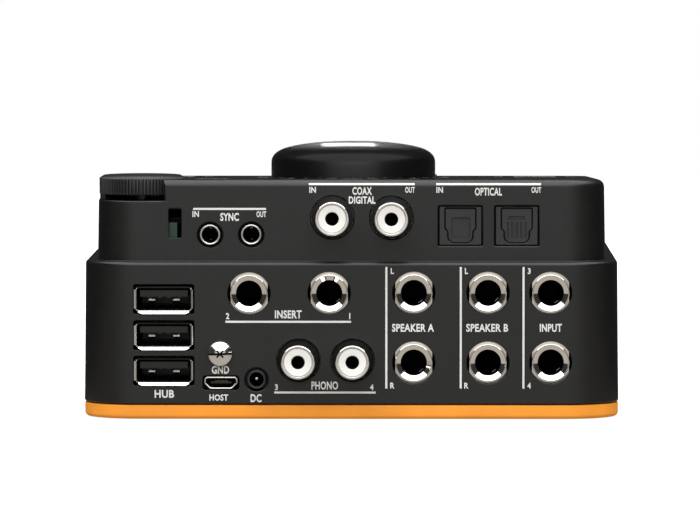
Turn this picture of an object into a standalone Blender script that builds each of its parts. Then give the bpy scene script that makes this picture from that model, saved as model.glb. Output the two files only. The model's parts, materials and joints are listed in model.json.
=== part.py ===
"""Desktop audio interface: a two-tier moulded housing on a rubber base, with its rear and front connectors,
boards, monitor knob, corner thumb-wheel, dials, buttons and sprung optical shutters, each as its own object.

Metres, +Z up. The connector side faces -Y and the user's side faces +Y. Every object hangs from the empty
"interface_origin", which puts the middle of the whole object's box over the world origin and its base on Z = 0.
"""

import math

import bmesh
import bpy
from mathutils import Matrix, Vector

for old in list(bpy.data.objects):
    bpy.data.objects.remove(old, do_unlink=True)

MM = 0.001

# ------------------------------------------------------------------ driving dimensions, in millimetres
SHIFT_Y = 4.225  # the phono shells stand out behind the housing, so the housing sits this far towards +Y
BASE_H = 3.3  # rubber base
BASE_HALF = 63.0
SEAM_Z = 3.6  # lower rim of the housing
LOW_HALF_BOTTOM = 63.15
LOW_HALF_TOP = 62.83
LOW_R = 13.2
LEDGE_Z = 37.1
LEDGE_ROUND = 0.9
UP_HALF_LEDGE = 60.1
UP_HALF_TOP = 59.8
UP_R = 10.4
TOP_ROUND = 1.9
TOP_REAR_Z = 56.63  # height of the sloping top's plane over the lower tier's rear face
TOP_SLOPE = 0.0314  # fall towards the user, 1.8 degrees
WALL = 2.4
LEDGE_WALL = 1.6
PANEL_T = 0.8
PANEL_GAP = 0.3
PANEL_HALF = 55.6
GAP = 0.3

REAR = -63.0  # lower rear face at mid height
REAR_UP = -60.0  # upper rear face at mid height
BODY_Y = -59.1  # front of the lower connectors' bodies, behind the wall
BODY_UP_Y = -57.3

KNOB_R = 20.1
KNOB_TOP = 63.4
KNOB_SHOULDER_R = 6.7
KNOB_SHOULDER_Z = 59.44
KNOB_BOTTOM = 53.9
WELL_R = 20.9
WELL_Z = 53.3

WHEEL_X, WHEEL_Y = -49.7, -49.7
WHEEL_R = 10.0
WHEEL_Z0, WHEEL_Z1 = 52.7, 57.2
SHELF_Z = 51.4
NOTCH = -44.2

JACK_R = 3.22  # 6.35 mm sockets
JACK_HOLE_R = 5.05
JACK_W = 9.6
INSERTS = {"1": (-24.07, 29.65), "2": (-5.15, 29.75)}
DUALS = {"a": (14.8, 29.8, 13.35), "b": (32.3, 29.8, 13.35), "in": (47.1, 29.8, 13.4)}
PHONO = {"right": (-12.38, 13.93), "left": (0.38, 13.93)}
COAX = {"in": (-4.41, 47.5), "out": (9.52, 47.4)}
SYNC = {"in": (-33.31, 43.4), "out": (-23.6, 43.45)}
OPTICAL = {"in": (25.8, 45.5), "out": (39.1, 45.5)}
OPTICAL_HINGE = (-59.0, 49.2)  # y and z of the shutters' pins
USB_X = -44.2
USB_Z = {"1": 28.33, "2": 19.8, "3": 11.4}
MICRO = (-30.7, 8.58)
DC = (-22.3, 9.36)
GROUND = (-30.85, 15.5)
SLOT = (-43.15, -40.1, 42.6, 49.66)
BOSS = 55.4
COMBOS = {"1": (40.0, 20.5), "2": (12.5, 20.5)}
PHONES = {"1": (-22.0, 20.5), "2": (-44.0, 20.5)}
DIALS = {"gain_1": (45.0, 40.0), "gain_2": (45.0, 16.0), "phones_1": (-45.0, 40.0), "phones_2": (-45.0, 16.0)}
BUTTONS = {"speaker": (16.5, 37.0), "dim": (5.5, 37.0), "mute": (-5.5, 37.0), "mono": (-16.5, 37.0)}
DIAL_R = 7.8
DIAL_WELL_R = 8.3


def top_z(y):
    """Height of the sloping top over a distance y from the housing's middle."""
    return TOP_REAR_Z - TOP_SLOPE * (y + 63.0)


# ------------------------------------------------------------------ materials
def material(name, colour, roughness, metallic=0.0):
    made = bpy.data.materials.new(name)
    made.use_nodes = True
    shader = made.node_tree.nodes["Principled BSDF"]
    shader.inputs["Base Color"].default_value = (*colour, 1.0)
    shader.inputs["Roughness"].default_value = roughness
    shader.inputs["Metallic"].default_value = metallic
    made.diffuse_color = (*colour, 1.0)
    return made


HOUSING = material("housing_grey", (0.032, 0.032, 0.033), 0.42)
PANEL = material("panel_black", (0.012, 0.012, 0.013), 0.3)
ORANGE = material("base_orange", (0.87, 0.33, 0.035), 0.6)
STEEL = material("steel", (0.5, 0.5, 0.5), 0.35, 1.0)
CHROME = material("chrome", (0.8, 0.79, 0.77), 0.12, 1.0)
BLACK = material("connector_black", (0.01, 0.01, 0.011), 0.4)
WHITE = material("insulator_white", (0.75, 0.74, 0.71), 0.4)
BOARD = material("board_green", (0.02, 0.14, 0.06), 0.45)
KNOB = material("knob_black", (0.014, 0.014, 0.015), 0.28, 0.4)
SCREW = material("screw_black", (0.02, 0.02, 0.022), 0.35, 0.9)

# ------------------------------------------------------------------ collections and helpers
parts = bpy.data.collections.new("audio_interface")
cutters = bpy.data.collections.new("cutters")
for group in (parts, cutters):
    bpy.context.scene.collection.children.link(group)

origin = bpy.data.objects.new("interface_origin", None)
origin.location = (0.0, SHIFT_Y * MM, 0.0)
parts.objects.link(origin)


def place(bm, name, mat=None, smooth=False):
    """Makes an object of a bmesh given in millimetres: a part with a material, or a cutter without one."""
    bmesh.ops.scale(bm, vec=(MM, MM, MM), verts=bm.verts)
    bmesh.ops.recalc_face_normals(bm, faces=bm.faces)
    mesh = bpy.data.meshes.new(name)
    bm.to_mesh(mesh)
    bm.free()
    obj = bpy.data.objects.new(name, mesh)
    if smooth:
        mesh.shade_smooth()
        mesh.set_sharp_from_angle(angle=math.radians(35))
    if mat is None:
        cutters.objects.link(obj)
        obj.hide_render = True
        obj.display_type = "WIRE"
    else:
        mesh.materials.append(mat)
        parts.objects.link(obj)
    obj.parent = origin
    return obj


def box_mesh(x0, x1, y0, y1, z0, z1):
    bm = bmesh.new()
    bmesh.ops.create_cube(bm, size=1.0)
    bmesh.ops.scale(bm, vec=(x1 - x0, y1 - y0, z1 - z0), verts=bm.verts)
    bmesh.ops.translate(bm, vec=((x0 + x1) / 2, (y0 + y1) / 2, (z0 + z1) / 2), verts=bm.verts)
    return bm


def box(name, x0, x1, y0, y1, z0, z1, mat=None):
    return place(box_mesh(x0, x1, y0, y1, z0, z1), name, mat)


def rod_mesh(axis, at, low, high, r_low, r_high=None, segments=24, turn=0.0):
    """A cylinder or cone from low to high along Y or Z, about the point at."""
    bm = bmesh.new()
    r_high = r_low if r_high is None else r_high
    bmesh.ops.create_cone(bm, cap_ends=True, segments=segments, radius1=r_low, radius2=r_high, depth=high - low)
    bmesh.ops.rotate(bm, cent=(0, 0, 0), matrix=Matrix.Rotation(math.pi / segments + turn, 3, "Z"), verts=bm.verts)
    if axis == "Y":
        bmesh.ops.rotate(bm, cent=(0, 0, 0), matrix=Matrix.Rotation(-math.pi / 2, 3, "X"), verts=bm.verts)
        centre = (at[0], (low + high) / 2, at[1])
    else:
        centre = (at[0], at[1], (low + high) / 2)
    bmesh.ops.translate(bm, vec=centre, verts=bm.verts)
    return bm


def rod(name, axis, at, low, high, r_low, r_high=None, segments=24, mat=None):
    return place(rod_mesh(axis, at, low, high, r_low, r_high, segments), name, mat, smooth=mat is not None)


def tier(name, z0, z1, half0, half1, radius, round_top=0.0, mat=None, slope=False, segments=4, steps=2):
    """A square block with drafted sides, rounded upright edges and a rounded rim, its top level or sloping."""
    bm = box_mesh(-1, 1, -1, 1, z0, z1)
    for v in bm.verts:
        upper = v.co.z > (z0 + z1) / 2
        half = half1 if upper else half0
        v.co.x *= half
        v.co.y *= half
        if upper and slope is not False:
            v.co.z = top_z(v.co.y) + slope
    upright = [e for e in bm.edges if abs(e.verts[0].co.z - e.verts[1].co.z) > 0.5 and abs(e.verts[0].co.x - e.verts[1].co.x) < 2.0
               and abs(e.verts[0].co.y - e.verts[1].co.y) < 2.0]
    bmesh.ops.bevel(bm, geom=upright, offset=radius, segments=segments, profile=0.5, affect="EDGES")
    if round_top:
        bm.faces.ensure_lookup_table()
        lid = max(bm.faces, key=lambda f: f.calc_center_median().z)
        bmesh.ops.bevel(bm, geom=list(lid.edges), offset=round_top, segments=steps, profile=0.5, affect="EDGES")
    return place(bm, name, mat, smooth=mat is not None)


def boolean(obj, operation, other):
    """Adds a Boolean of one object, or of every object in a collection."""
    modifier = obj.modifiers.new(operation.lower(), "BOOLEAN")
    modifier.operation = operation
    modifier.solver = "EXACT"
    if isinstance(other, bpy.types.Collection):
        modifier.operand_type = "COLLECTION"
        modifier.collection = other
    else:
        modifier.object = other
    return obj


def cut(obj, *others):
    for other in others:
        boolean(obj, "DIFFERENCE", other)
    return obj


def join(obj, *others):
    for other in others:
        boolean(obj, "UNION", other)
    return obj


def gather(name, objects):
    """Moves helpers into a collection of their own, for one Boolean to read."""
    made = bpy.data.collections.new(name)
    made.hide_render = True
    cutters.children.link(made)
    for obj in objects:
        cutters.objects.unlink(obj)
        made.objects.link(obj)
    return made


def turned(name, profile, at, segments, mat=None, facing_y=False):
    """A solid of revolution from a profile of (radius, height), outer side first: upright, or along Y as (radius, y)."""
    bm = bmesh.new()
    points = [bm.verts.new((r * MM, 0.0, (-h if facing_y else h) * MM)) for r, h in profile]
    for a, b in zip(points, points[1:]):
        bm.edges.new((a, b))
    if profile[0][0] > 0.0:
        bm.edges.new((points[-1], points[0]))
    mesh = bpy.data.meshes.new(name)
    bm.to_mesh(mesh)
    bm.free()
    obj = bpy.data.objects.new(name, mesh)
    if mat is None:
        cutters.objects.link(obj)
        obj.hide_render = True
        obj.display_type = "WIRE"
    else:
        mesh.materials.append(mat)
        parts.objects.link(obj)
    obj.parent = origin
    if facing_y:
        obj.rotation_euler = (math.pi / 2, 0.0, 0.0)
        obj.location = (at[0] * MM, 0.0, at[1] * MM)
    else:
        obj.location = (at[0] * MM, at[1] * MM, 0.0)
    screw = obj.modifiers.new("turn", "SCREW")
    screw.axis = "Z"
    screw.steps = screw.render_steps = segments
    screw.use_merge_vertices = True
    screw.merge_threshold = 0.00002
    screw.use_smooth_shade = True
    return obj


# ------------------------------------------------------------------ housing
housing = tier("housing", SEAM_Z, LEDGE_Z, LOW_HALF_BOTTOM, LOW_HALF_TOP, LOW_R, LEDGE_ROUND, HOUSING)
join(housing, tier("upper_tier", 30.0, 56.0, UP_HALF_LEDGE + 0.1, UP_HALF_TOP, UP_R, TOP_ROUND, slope=0.0))

lower_room = tier("lower_room", 1.0, LEDGE_Z - LEDGE_WALL, LOW_HALF_BOTTOM - WALL - 0.1, LOW_HALF_TOP - WALL, LOW_R - WALL, segments=3)
upper_room = tier("upper_room", 2.0, 50.0, UP_HALF_LEDGE - WALL, UP_HALF_TOP - WALL, UP_R - WALL, slope=-WALL, segments=3)
seats = [
    rod("wheel_seat", "Z", (WHEEL_X, WHEEL_Y), SHELF_Z - 2.2, 62.0, WHEEL_R + 2.4, segments=20),
    rod("knob_seat", "Z", (0, 0), WELL_Z - 2.3, 62.0, WELL_R + 2.0, segments=20),
]
for name, (x, y) in DIALS.items():
    seats.append(rod(name + "_seat", "Z", (x, y), top_z(y) - 5.5, 62.0, DIAL_WELL_R + 1.6, segments=10))
for x, y in ((48.0, -24.0), (-48.0, -24.0), (27.0, 50.5), (-27.0, 50.5)):
    seats.append(rod("board_post", "Z", (x, y), 46.4, 62.0, 2.2, segments=6))
boolean(upper_room, "DIFFERENCE", gather("top_seats", seats))
bosses = [rod("boss", "Z", (sx * BOSS, sy * BOSS), 5.0, LEDGE_Z - 0.8, 3.2, segments=12) for sx in (-1, 1) for sy in (-1, 1)]
boolean(lower_room, "DIFFERENCE", gather("base_bosses", bosses))
cut(housing, lower_room, upper_room)

holes = []
for x, z in INSERTS.values():
    holes.append(rod("hole", "Y", (x, z), -68.0, -58.0, JACK_HOLE_R, segments=16))
for x, z_high, z_low in DUALS.values():
    holes.append(rod("hole", "Y", (x, z_high), -68.0, -58.0, JACK_HOLE_R, segments=16))
    holes.append(rod("hole", "Y", (x, z_low), -68.0, -58.0, JACK_HOLE_R, segments=16))
for x, z in list(PHONO.values()):
    holes.append(rod("hole", "Y", (x, z), -68.0, -58.0, 5.15, segments=16))
for x, z in COAX.values():
    holes.append(rod("hole", "Y", (x, z), -68.0, -55.0, 5.15, segments=16))
for x, z in SYNC.values():
    holes.append(rod("hole", "Y", (x, z), -68.0, -55.0, 3.1, segments=12))
for x, z in OPTICAL.values():
    holes.append(box("hole", x - 5.25, x + 5.25, -68.0, -55.0, z - 4.8, z + 4.8))
for z in USB_Z.values():
    holes.append(box("hole", USB_X - 7.25, USB_X + 7.25, -68.0, -58.0, z - 3.55, z + 3.55))
holes.append(box("hole", MICRO[0] - 4.35, MICRO[0] + 4.35, -68.0, -58.0, MICRO[1] - 1.75, MICRO[1] + 1.75))
holes.append(rod("hole", "Y", DC, -68.0, -58.0, 2.8, segments=16))
holes.append(rod("hole", "Y", GROUND, -68.0, -58.0, 1.7, segments=12))
holes.append(box("hole", SLOT[0], SLOT[1], -68.0, -55.0, SLOT[2], SLOT[3]))
for x, z in COMBOS.values():
    holes.append(rod("hole", "Y", (x, z), 58.0, 68.0, 12.0, segments=24))
for x, z in PHONES.values():
    holes.append(rod("hole", "Y", (x, z), 58.0, 68.0, JACK_HOLE_R, segments=16))
for x, y in DIALS.values():
    holes.append(rod("hole", "Z", (x, y), top_z(y) - 3.5, 62.0, DIAL_WELL_R, segments=18))
    holes.append(rod("hole", "Z", (x, y), 44.0, 52.0, 1.9, segments=8))
for x, y in BUTTONS.values():
    holes.append(box("hole", x - 4.5, x + 4.5, y - 3.0, y + 3.0, 48.0, 62.0))
holes.append(rod("hole", "Z", (0, 0), WELL_Z, 66.0, WELL_R, segments=32))
holes.append(rod("hole", "Z", (0, 0), 45.0, 58.0, 4.1, segments=16))
holes.append(rod("hole", "Z", (WHEEL_X, WHEEL_Y), SHELF_Z, 66.0, WHEEL_R + 0.6, segments=24))
holes.append(box("hole", -68.0, NOTCH, -68.0, NOTCH, SHELF_Z, 67.0))
holes.append(rod("hole", "Z", (WHEEL_X, WHEEL_Y), 45.0, 54.0, 2.4, segments=12))
for sx in (-1, 1):
    for sy in (-1, 1):
        holes.append(rod("hole", "Z", (sx * BOSS, sy * BOSS), 4.0, 15.0, 1.6, segments=8))


def panel_block(name, half, low, high, radius, keep_out, mat=None):
    """The control panel's outline as a slab parallel to the top, less the corner that the wheel takes."""
    bm = box_mesh(-half, half, -half, half, 0.0, 1.0)
    upright = [e for e in bm.edges if abs(e.verts[0].co.z - e.verts[1].co.z) > 0.5]
    bmesh.ops.bevel(bm, geom=upright, offset=radius, segments=4, profile=0.5, affect="EDGES")
    for v in bm.verts:
        v.co.z = top_z(v.co.y) + (high if v.co.z > 0.5 else low)
    made = place(bm, name, mat)
    return cut(made, rod(name + "_corner", "Z", (WHEEL_X, WHEEL_Y), 45.0, 66.0, keep_out, segments=20),
               box(name + "_corner_square", -70.0, WHEEL_X, -70.0, WHEEL_Y + keep_out, 45.0, 66.0),
               box(name + "_corner_side", -70.0, WHEEL_X + keep_out, -70.0, WHEEL_Y, 45.0, 66.0))


holes.append(panel_block("panel_recess", PANEL_HALF + 0.3, -PANEL_T - PANEL_GAP, 5.0, 6.8, WHEEL_R + 2.4))
boolean(housing, "DIFFERENCE", gather("housing_openings", holes))

# ------------------------------------------------------------------ control panel
top_panel = panel_block("top_panel", PANEL_HALF, -PANEL_T, 0.0, 6.5, WHEEL_R + 2.8, PANEL)
panel_holes = [rod("panel_hole", "Z", (0, 0), 45.0, 66.0, WELL_R, segments=32)]
for x, y in DIALS.values():
    panel_holes.append(rod("panel_hole", "Z", (x, y), 45.0, 66.0, DIAL_WELL_R, segments=18))
for x, y in BUTTONS.values():
    panel_holes.append(box("panel_hole", x - 4.5, x + 4.5, y - 3.0, y + 3.0, 45.0, 66.0))
boolean(top_panel, "DIFFERENCE", gather("panel_openings", panel_holes))

# ------------------------------------------------------------------ base: sheet plate, rubber foot and four screws
base_plate = tier("base_plate", SEAM_Z, SEAM_Z + 1.0, 60.2, 60.2, 10.4, mat=STEEL, segments=4)
posts = [rod("board_foot", "Z", (sx * 44.0, sy * 44.0), SEAM_Z + 0.5, 5.0, 2.2, segments=8) for sx in (-1, 1) for sy in (-1, 1)]
boolean(base_plate, "UNION", gather("board_feet", posts))
plate_holes = [rod("plate_hole", "Z", (sx * BOSS, sy * BOSS), 1.0, 8.0, 1.7, segments=10) for sx in (-1, 1) for sy in (-1, 1)]
boolean(base_plate, "DIFFERENCE", gather("plate_holes", plate_holes))

bm = box_mesh(-BASE_HALF, BASE_HALF, -BASE_HALF, BASE_HALF, 0.0, BASE_H)
upright = [e for e in bm.edges if abs(e.verts[0].co.z - e.verts[1].co.z) > 1.0]
bmesh.ops.bevel(bm, geom=upright, offset=LOW_R, segments=5, profile=0.5, affect="EDGES")
sole = min(bm.faces, key=lambda f: f.calc_center_median().z)
bmesh.ops.bevel(bm, geom=list(sole.edges), offset=0.9, segments=2, profile=0.5, affect="EDGES")
rubber_base = place(bm, "rubber_base", ORANGE, smooth=True)
foot_holes = [rod("foot_hole", "Z", (sx * BOSS, sy * BOSS), -2.0, 6.0, 3.2, segments=12) for sx in (-1, 1) for sy in (-1, 1)]
boolean(rubber_base, "DIFFERENCE", gather("foot_holes", foot_holes))

number = 0
for sx in (-1, 1):
    for sy in (-1, 1):
        number += 1
        screw = rod("base_screw_%d" % number, "Z", (sx * BOSS, sy * BOSS), 1.6, BASE_H, 2.75, segments=12, mat=SCREW)
        join(screw, rod("shank", "Z", (sx * BOSS, sy * BOSS), 2.5, 13.0, 1.3, segments=8))
        cut(screw, rod("hex_recess", "Z", (sx * BOSS, sy * BOSS), 0.0, 2.5, 1.2, segments=6))

# ------------------------------------------------------------------ circuit boards with their soldered parts
main_board = box("main_board", -56.0, 56.0, -50.5, 50.5, 5.3, 6.9, BOARD)
join(main_board, box("processor", -6.0, 8.0, -8.0, 6.0, 6.5, 8.2), box("codec", -34.0, -26.0, 0.0, 8.0, 6.5, 8.0),
     box("inductor", 24.0, 34.0, -12.0, -2.0, 6.5, 11.0))
insert_board = box("insert_board", -36.4, 8.4, -58.4, -24.0, 22.1, 23.7, BOARD)
upper_board = box("upper_board", -51.0, 51.0, -56.9, -30.0, 36.5, 38.1, BOARD)
wheel_board = box("wheel_board", -54.5, -42.3, -54.5, -42.0, 42.4, 44.0, BOARD)
control_board = box("control_board", -53.0, 53.0, -30.0, 54.0, 44.5, 46.1, BOARD)
soldered = []
for x, y in DIALS.values():
    soldered.append(box("pot", x - 4.2, x + 4.2, y - 4.2, y + 4.2, 45.6, 47.4))
for x, y in BUTTONS.values():
    soldered.append(box("switch", x - 3.0, x + 3.0, y - 3.0, y + 3.0, 45.6, 47.3))
boolean(control_board, "UNION", gather("soldered_parts", soldered))
pot_bores = [rod("pot_bore", "Z", (x, y), 46.5, 49.0, 1.62, segments=10) for x, y in DIALS.values()]
boolean(control_board, "DIFFERENCE", gather("pot_bores", pot_bores))


# ------------------------------------------------------------------ 6.35 mm sockets: plastic body and plated ferrule plate
def jack_body(name, x, centres, y_front=BODY_Y, y_back=-30.0, direction=1):
    """A block behind the wall with one blind socket for each centre height."""
    z0, z1 = min(centres) - 5.4, max(centres) + 5.4
    body = box(name, x - JACK_W / 2, x + JACK_W / 2, min(y_front, y_back), max(y_front, y_back), z0, z1, BLACK)
    for z in centres:
        deep = y_front + direction * 26.5
        cut(body, rod("socket", "Y", (x, z), min(y_front - direction, deep), max(y_front - direction, deep), JACK_R + 0.03, segments=14),
            rod("socket_mouth", "Y", (x, z), min(y_front - direction, y_front + direction * 2.6), max(y_front - direction, y_front + direction * 2.6),
                4.02, segments=14))
    return body


def ferrule_plate(name, x, centres):
    """A plate behind the wall with a countersunk collar through the wall for each socket."""
    z0, z1 = min(centres) - 5.2, max(centres) + 5.2
    plate = box(name, x - 4.35, x + 4.35, -59.9, -59.4, z0, z1, CHROME)
    for z in centres:
        cut(plate, rod("plate_bore", "Y", (x, z), -66.0, -55.0, 3.6, segments=12))
    for z in centres:
        ring = [(4.1, -63.05), (4.3, -62.85), (4.3, -59.8), (3.85, -59.6), (3.85, -57.1), (JACK_R, -57.1), (JACK_R, -62.2), (4.0, -63.05)]
        join(plate, turned("collar", ring, (x, z), 16, facing_y=True))
    return plate


for name, (x, z) in INSERTS.items():
    jack_body("insert_jack_" + name, x, [z])
    ferrule_plate("insert_ferrule_" + name, x, [z])
for name, (x, z_high, z_low) in DUALS.items():
    label = {"a": "speaker_a", "b": "speaker_b", "in": "line_input"}[name]
    jack_body(label + "_jacks", x, [z_high, z_low])
    ferrule_plate(label + "_ferrules", x, [z_high, z_low])

# ------------------------------------------------------------------ phono and coaxial sockets: block, then a turned shell for each
box("phono_block", -18.4, 6.6, BODY_Y, -47.0, 7.2, 20.3, WHITE)
for name, (x, z) in PHONO.items():
    cut(bpy.data.objects["phono_block"], rod("shell_seat", "Y", (x, z), -66.0, -57.0, 3.5, segments=12))
box("coax_block", -10.2, 15.3, BODY_UP_Y, -45.0, 38.4, 52.9, WHITE)
for name, (x, z) in COAX.items():
    cut(bpy.data.objects["coax_block"], rod("shell_seat", "Y", (x, z), -66.0, -55.0, 3.5, segments=12))


def phono_shell(name, x, z, y_wall, y_seat):
    """A plated sleeve with an insulator and a centre contact, standing 8.6 mm out of the wall."""
    shell = rod(name, "Y", (x, z), y_wall - 8.6, y_seat, 4.0, segments=16, mat=CHROME)
    join(shell, rod("flange", "Y", (x, z), y_seat - 2.4, y_seat - 1.2, 4.9, segments=12), rod("tail", "Y", (x, z), y_seat - 0.5, y_seat + 2.0, 3.2, segments=10))
    cut(shell, rod("contact_hole", "Y", (x, z), y_wall - 12.0, y_wall + 1.0, 1.65, segments=8))
    return shell


for name, (x, z) in PHONO.items():
    phono_shell("phono_shell_" + name, x, z, REAR, BODY_Y - GAP)
for name, (x, z) in COAX.items():
    phono_shell("coax_shell_" + name, x, z, REAR_UP, BODY_UP_Y - GAP)

# ------------------------------------------------------------------ 3.5 mm sockets
for name, (x, z) in SYNC.items():
    body = box("sync_jack_" + name, x - 3.6, x + 3.6, BODY_UP_Y, -45.0, 38.4, 47.0, BLACK)
    join(body, rod("collar", "Y", (x, z), REAR_UP - 0.1, BODY_UP_Y + 0.5, 2.42, segments=16))
    cut(body, rod("socket", "Y", (x, z), REAR_UP - 2.0, -46.5, 1.78, segments=12))

# ------------------------------------------------------------------ optical ports with inward-opening shutters
for name, (x, z) in OPTICAL.items():
    port = box("optical_port_" + name, x - 5.0, x + 5.0, -59.7, -46.0, z - 4.55, z + 4.55, BLACK)
    join(port, box("port_foot", x - 5.0, x + 5.0, -57.2, -46.0, 38.4, z))
    cut(port, box("port_mouth", x - 4.0, x + 4.0, -62.0, -50.0, z - 4.1, z + 4.3))
    hinge_y, hinge_z = OPTICAL_HINGE
    bm = box_mesh(-3.75, 3.75, -0.45, 0.45, -7.4, 0.35)
    shutter = place(bm, "optical_shutter_" + name, BLACK)
    shutter.location = (x * MM, hinge_y * MM, hinge_z * MM)

# ------------------------------------------------------------------ USB stack: three flared shields and their shared insulator
for name, z in USB_Z.items():
    shield = box("usb_shield_" + name, USB_X - 6.65, USB_X + 6.65, -63.2, -45.0, z - 2.95, z + 2.95, STEEL)
    join(shield, box("flare", USB_X - 7.0, USB_X + 7.0, -63.7, -63.2 + 0.1, z - 3.3, z + 3.3))
    cut(shield, box("mouth", USB_X - 6.3, USB_X + 6.3, -70.0, -40.0, z - 2.55, z + 2.55))
usb_insulator = box("usb_insulator", USB_X - 5.9, USB_X + 5.9, -44.6, -42.0, 7.2, 31.4, BLACK)
for z in USB_Z.values():
    join(usb_insulator, box("tongue", USB_X - 5.9, USB_X + 5.9, -61.0, -44.0, z + 0.35, z + 2.15),
         box("tongue_root", USB_X - 5.9, USB_X + 5.9, -48.5, -44.0, z - 2.1, z + 1.0))

# ------------------------------------------------------------------ micro port, power inlet, ground terminal
micro = box("micro_port", MICRO[0] - 3.95, MICRO[0] + 3.95, -63.0, -57.3, MICRO[1] - 1.35, MICRO[1] + 1.35, STEEL)
cut(micro, box("micro_mouth", MICRO[0] - 3.6, MICRO[0] + 3.6, -66.0, -58.0, MICRO[1] - 1.0, MICRO[1] + 1.0))
join(micro, box("micro_tongue", MICRO[0] - 2.9, MICRO[0] + 2.9, -62.2, -57.6, MICRO[1] - 0.1, MICRO[1] + 0.5))
dc_inlet = box("dc_inlet", DC[0] - 3.6, DC[0] + 3.6, BODY_Y, -48.0, 7.2, 13.8, BLACK)
join(dc_inlet, rod("barrel", "Y", DC, -62.95, BODY_Y + 1.0, 2.55, segments=20))
cut(dc_inlet, rod("barrel_bore", "Y", DC, -66.0, -51.0, 1.78, segments=16))
join(dc_inlet, rod("pin", "Y", DC, -62.0, -50.0, 0.5, segments=8))
ground_screw = rod("ground_screw", "Y", GROUND, -65.7, -63.4, 2.95, segments=18, mat=STEEL)
join(ground_screw, rod("ground_shank", "Y", GROUND, -64.0, -54.0, 1.4, segments=10))
cut(ground_screw, box("drive_slot", GROUND[0] - 2.6, GROUND[0] + 2.6, -67.0, -64.9, GROUND[1] - 0.4, GROUND[1] + 0.4),
    box("drive_cross", GROUND[0] - 0.4, GROUND[0] + 0.4, -67.0, -64.9, GROUND[1] - 1.5, GROUND[1] + 1.5))

# ------------------------------------------------------------------ front side: combination sockets and headphone sockets
for name, (x, z) in COMBOS.items():
    combo = rod("combo_socket_" + name, "Y", (x, z), 40.0, 62.9, 11.6, segments=20, mat=BLACK)
    join(combo, box("combo_back", x - 11.0, x + 11.0, 32.0, 58.0, 7.3, 32.5))
    ring = rod("groove_outer", "Y", (x, z), 50.0, 66.0, 9.75, segments=20)
    cut(ring, rod("groove_core", "Y", (x, z), 49.0, 67.0, 8.35, segments=20))
    cut(combo, ring, rod("combo_bore", "Y", (x, z), 34.5, 66.0, JACK_R + 0.05, segments=14))
    for angle in (90, 210, 330):
        pin = (x + 5.9 * math.cos(math.radians(angle)), z + 5.9 * math.sin(math.radians(angle)))
        cut(combo, rod("pin_hole", "Y", pin, 50.0, 66.0, 1.3, segments=8))
for name, (x, z) in PHONES.items():
    body = jack_body("phones_jack_" + name, x, [z], 60.0, 31.0, -1)
    join(body, rod("collar", "Y", (x, z), 59.0, 62.9, 4.5, segments=16))
    cut(body, rod("collar_bore", "Y", (x, z), 56.0, 66.0, JACK_R, segments=14))

# ------------------------------------------------------------------ monitor knob, its shaft and encoder
profile = [(0.0, KNOB_TOP), (KNOB_SHOULDER_R, KNOB_TOP)]
for step in range(1, 6):
    angle = math.radians(90 - step * 90 / 5)
    profile.append((KNOB_SHOULDER_R + (KNOB_R - KNOB_SHOULDER_R) * math.cos(angle), KNOB_SHOULDER_Z + (KNOB_TOP - KNOB_SHOULDER_Z) * math.sin(angle)))
profile += [(KNOB_R, KNOB_BOTTOM), (17.8, KNOB_BOTTOM), (17.8, 59.0), (6.5, 59.6), (6.5, 54.2), (3.12, 54.2), (3.12, 60.9), (0.0, 60.9)]
turned("main_knob", profile, (0, 0), 36, KNOB)
turned("knob_shaft", [(0.0, 60.6), (3.0, 60.6), (3.0, 47.0), (0.0, 47.0)], (0, 0), 20, STEEL)
encoder = box("knob_encoder", -6.0, 6.0, -6.0, 6.0, 46.4, 50.7, BLACK)
join(encoder, rod("bushing", "Z", (0, 0), 50.0, 53.0, 3.8, segments=16))
cut(encoder, rod("encoder_bore", "Z", (0, 0), 46.8, 56.0, 3.1, segments=20))

# ------------------------------------------------------------------ corner wheel and its potentiometer
turned("corner_wheel", [(0.0, WHEEL_Z1), (WHEEL_R - 0.5, WHEEL_Z1), (WHEEL_R, WHEEL_Z1 - 0.5), (WHEEL_R, WHEEL_Z0 + 0.2), (WHEEL_R - 0.2, WHEEL_Z0),
                        (2.0, WHEEL_Z0), (2.0, 45.5), (0.0, 45.5)], (WHEEL_X, WHEEL_Y), 28, KNOB)
wheel_pot = box("wheel_pot", WHEEL_X - 4.75, WHEEL_X + 4.75, WHEEL_Y - 4.75, WHEEL_Y + 4.75, 44.3, 48.9, BLACK)
cut(wheel_pot, rod("pot_bore", "Z", (WHEEL_X, WHEEL_Y), 45.1, 52.0, 2.12, segments=14))

# ------------------------------------------------------------------ flush dials and buttons in the control panel
for name, (x, y) in DIALS.items():
    z = top_z(y) - 0.3
    turned(name + "_dial", [(0.0, z - 0.5), (2.6, z), (DIAL_R - 0.4, z), (DIAL_R, z - 0.4), (DIAL_R, z - 2.8), (1.5, z - 2.8), (1.5, 46.8), (0.0, 46.8)],
           (x, y), 18, KNOB)
for name, (x, y) in BUTTONS.items():
    z = top_z(y)
    bm = box_mesh(-4.2, 4.2, -2.7, 2.7, 48.4, z + 0.5)
    rim = [e for e in bm.edges if min(v.co.z for v in e.verts) > z]
    bmesh.ops.bevel(bm, geom=rim, offset=0.3, segments=1, profile=0.5, affect="EDGES")
    button = place(bm, name + "_button", KNOB)
    button.location = (x * MM, y * MM, 0.0)
    join(button, box("button_flange", x - 5.1, x + 5.1, y - 3.6, y + 3.6, z - 4.0, z - 3.1))
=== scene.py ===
import json
import math

import bmesh
import bpy
from mathutils import Matrix, Vector

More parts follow.
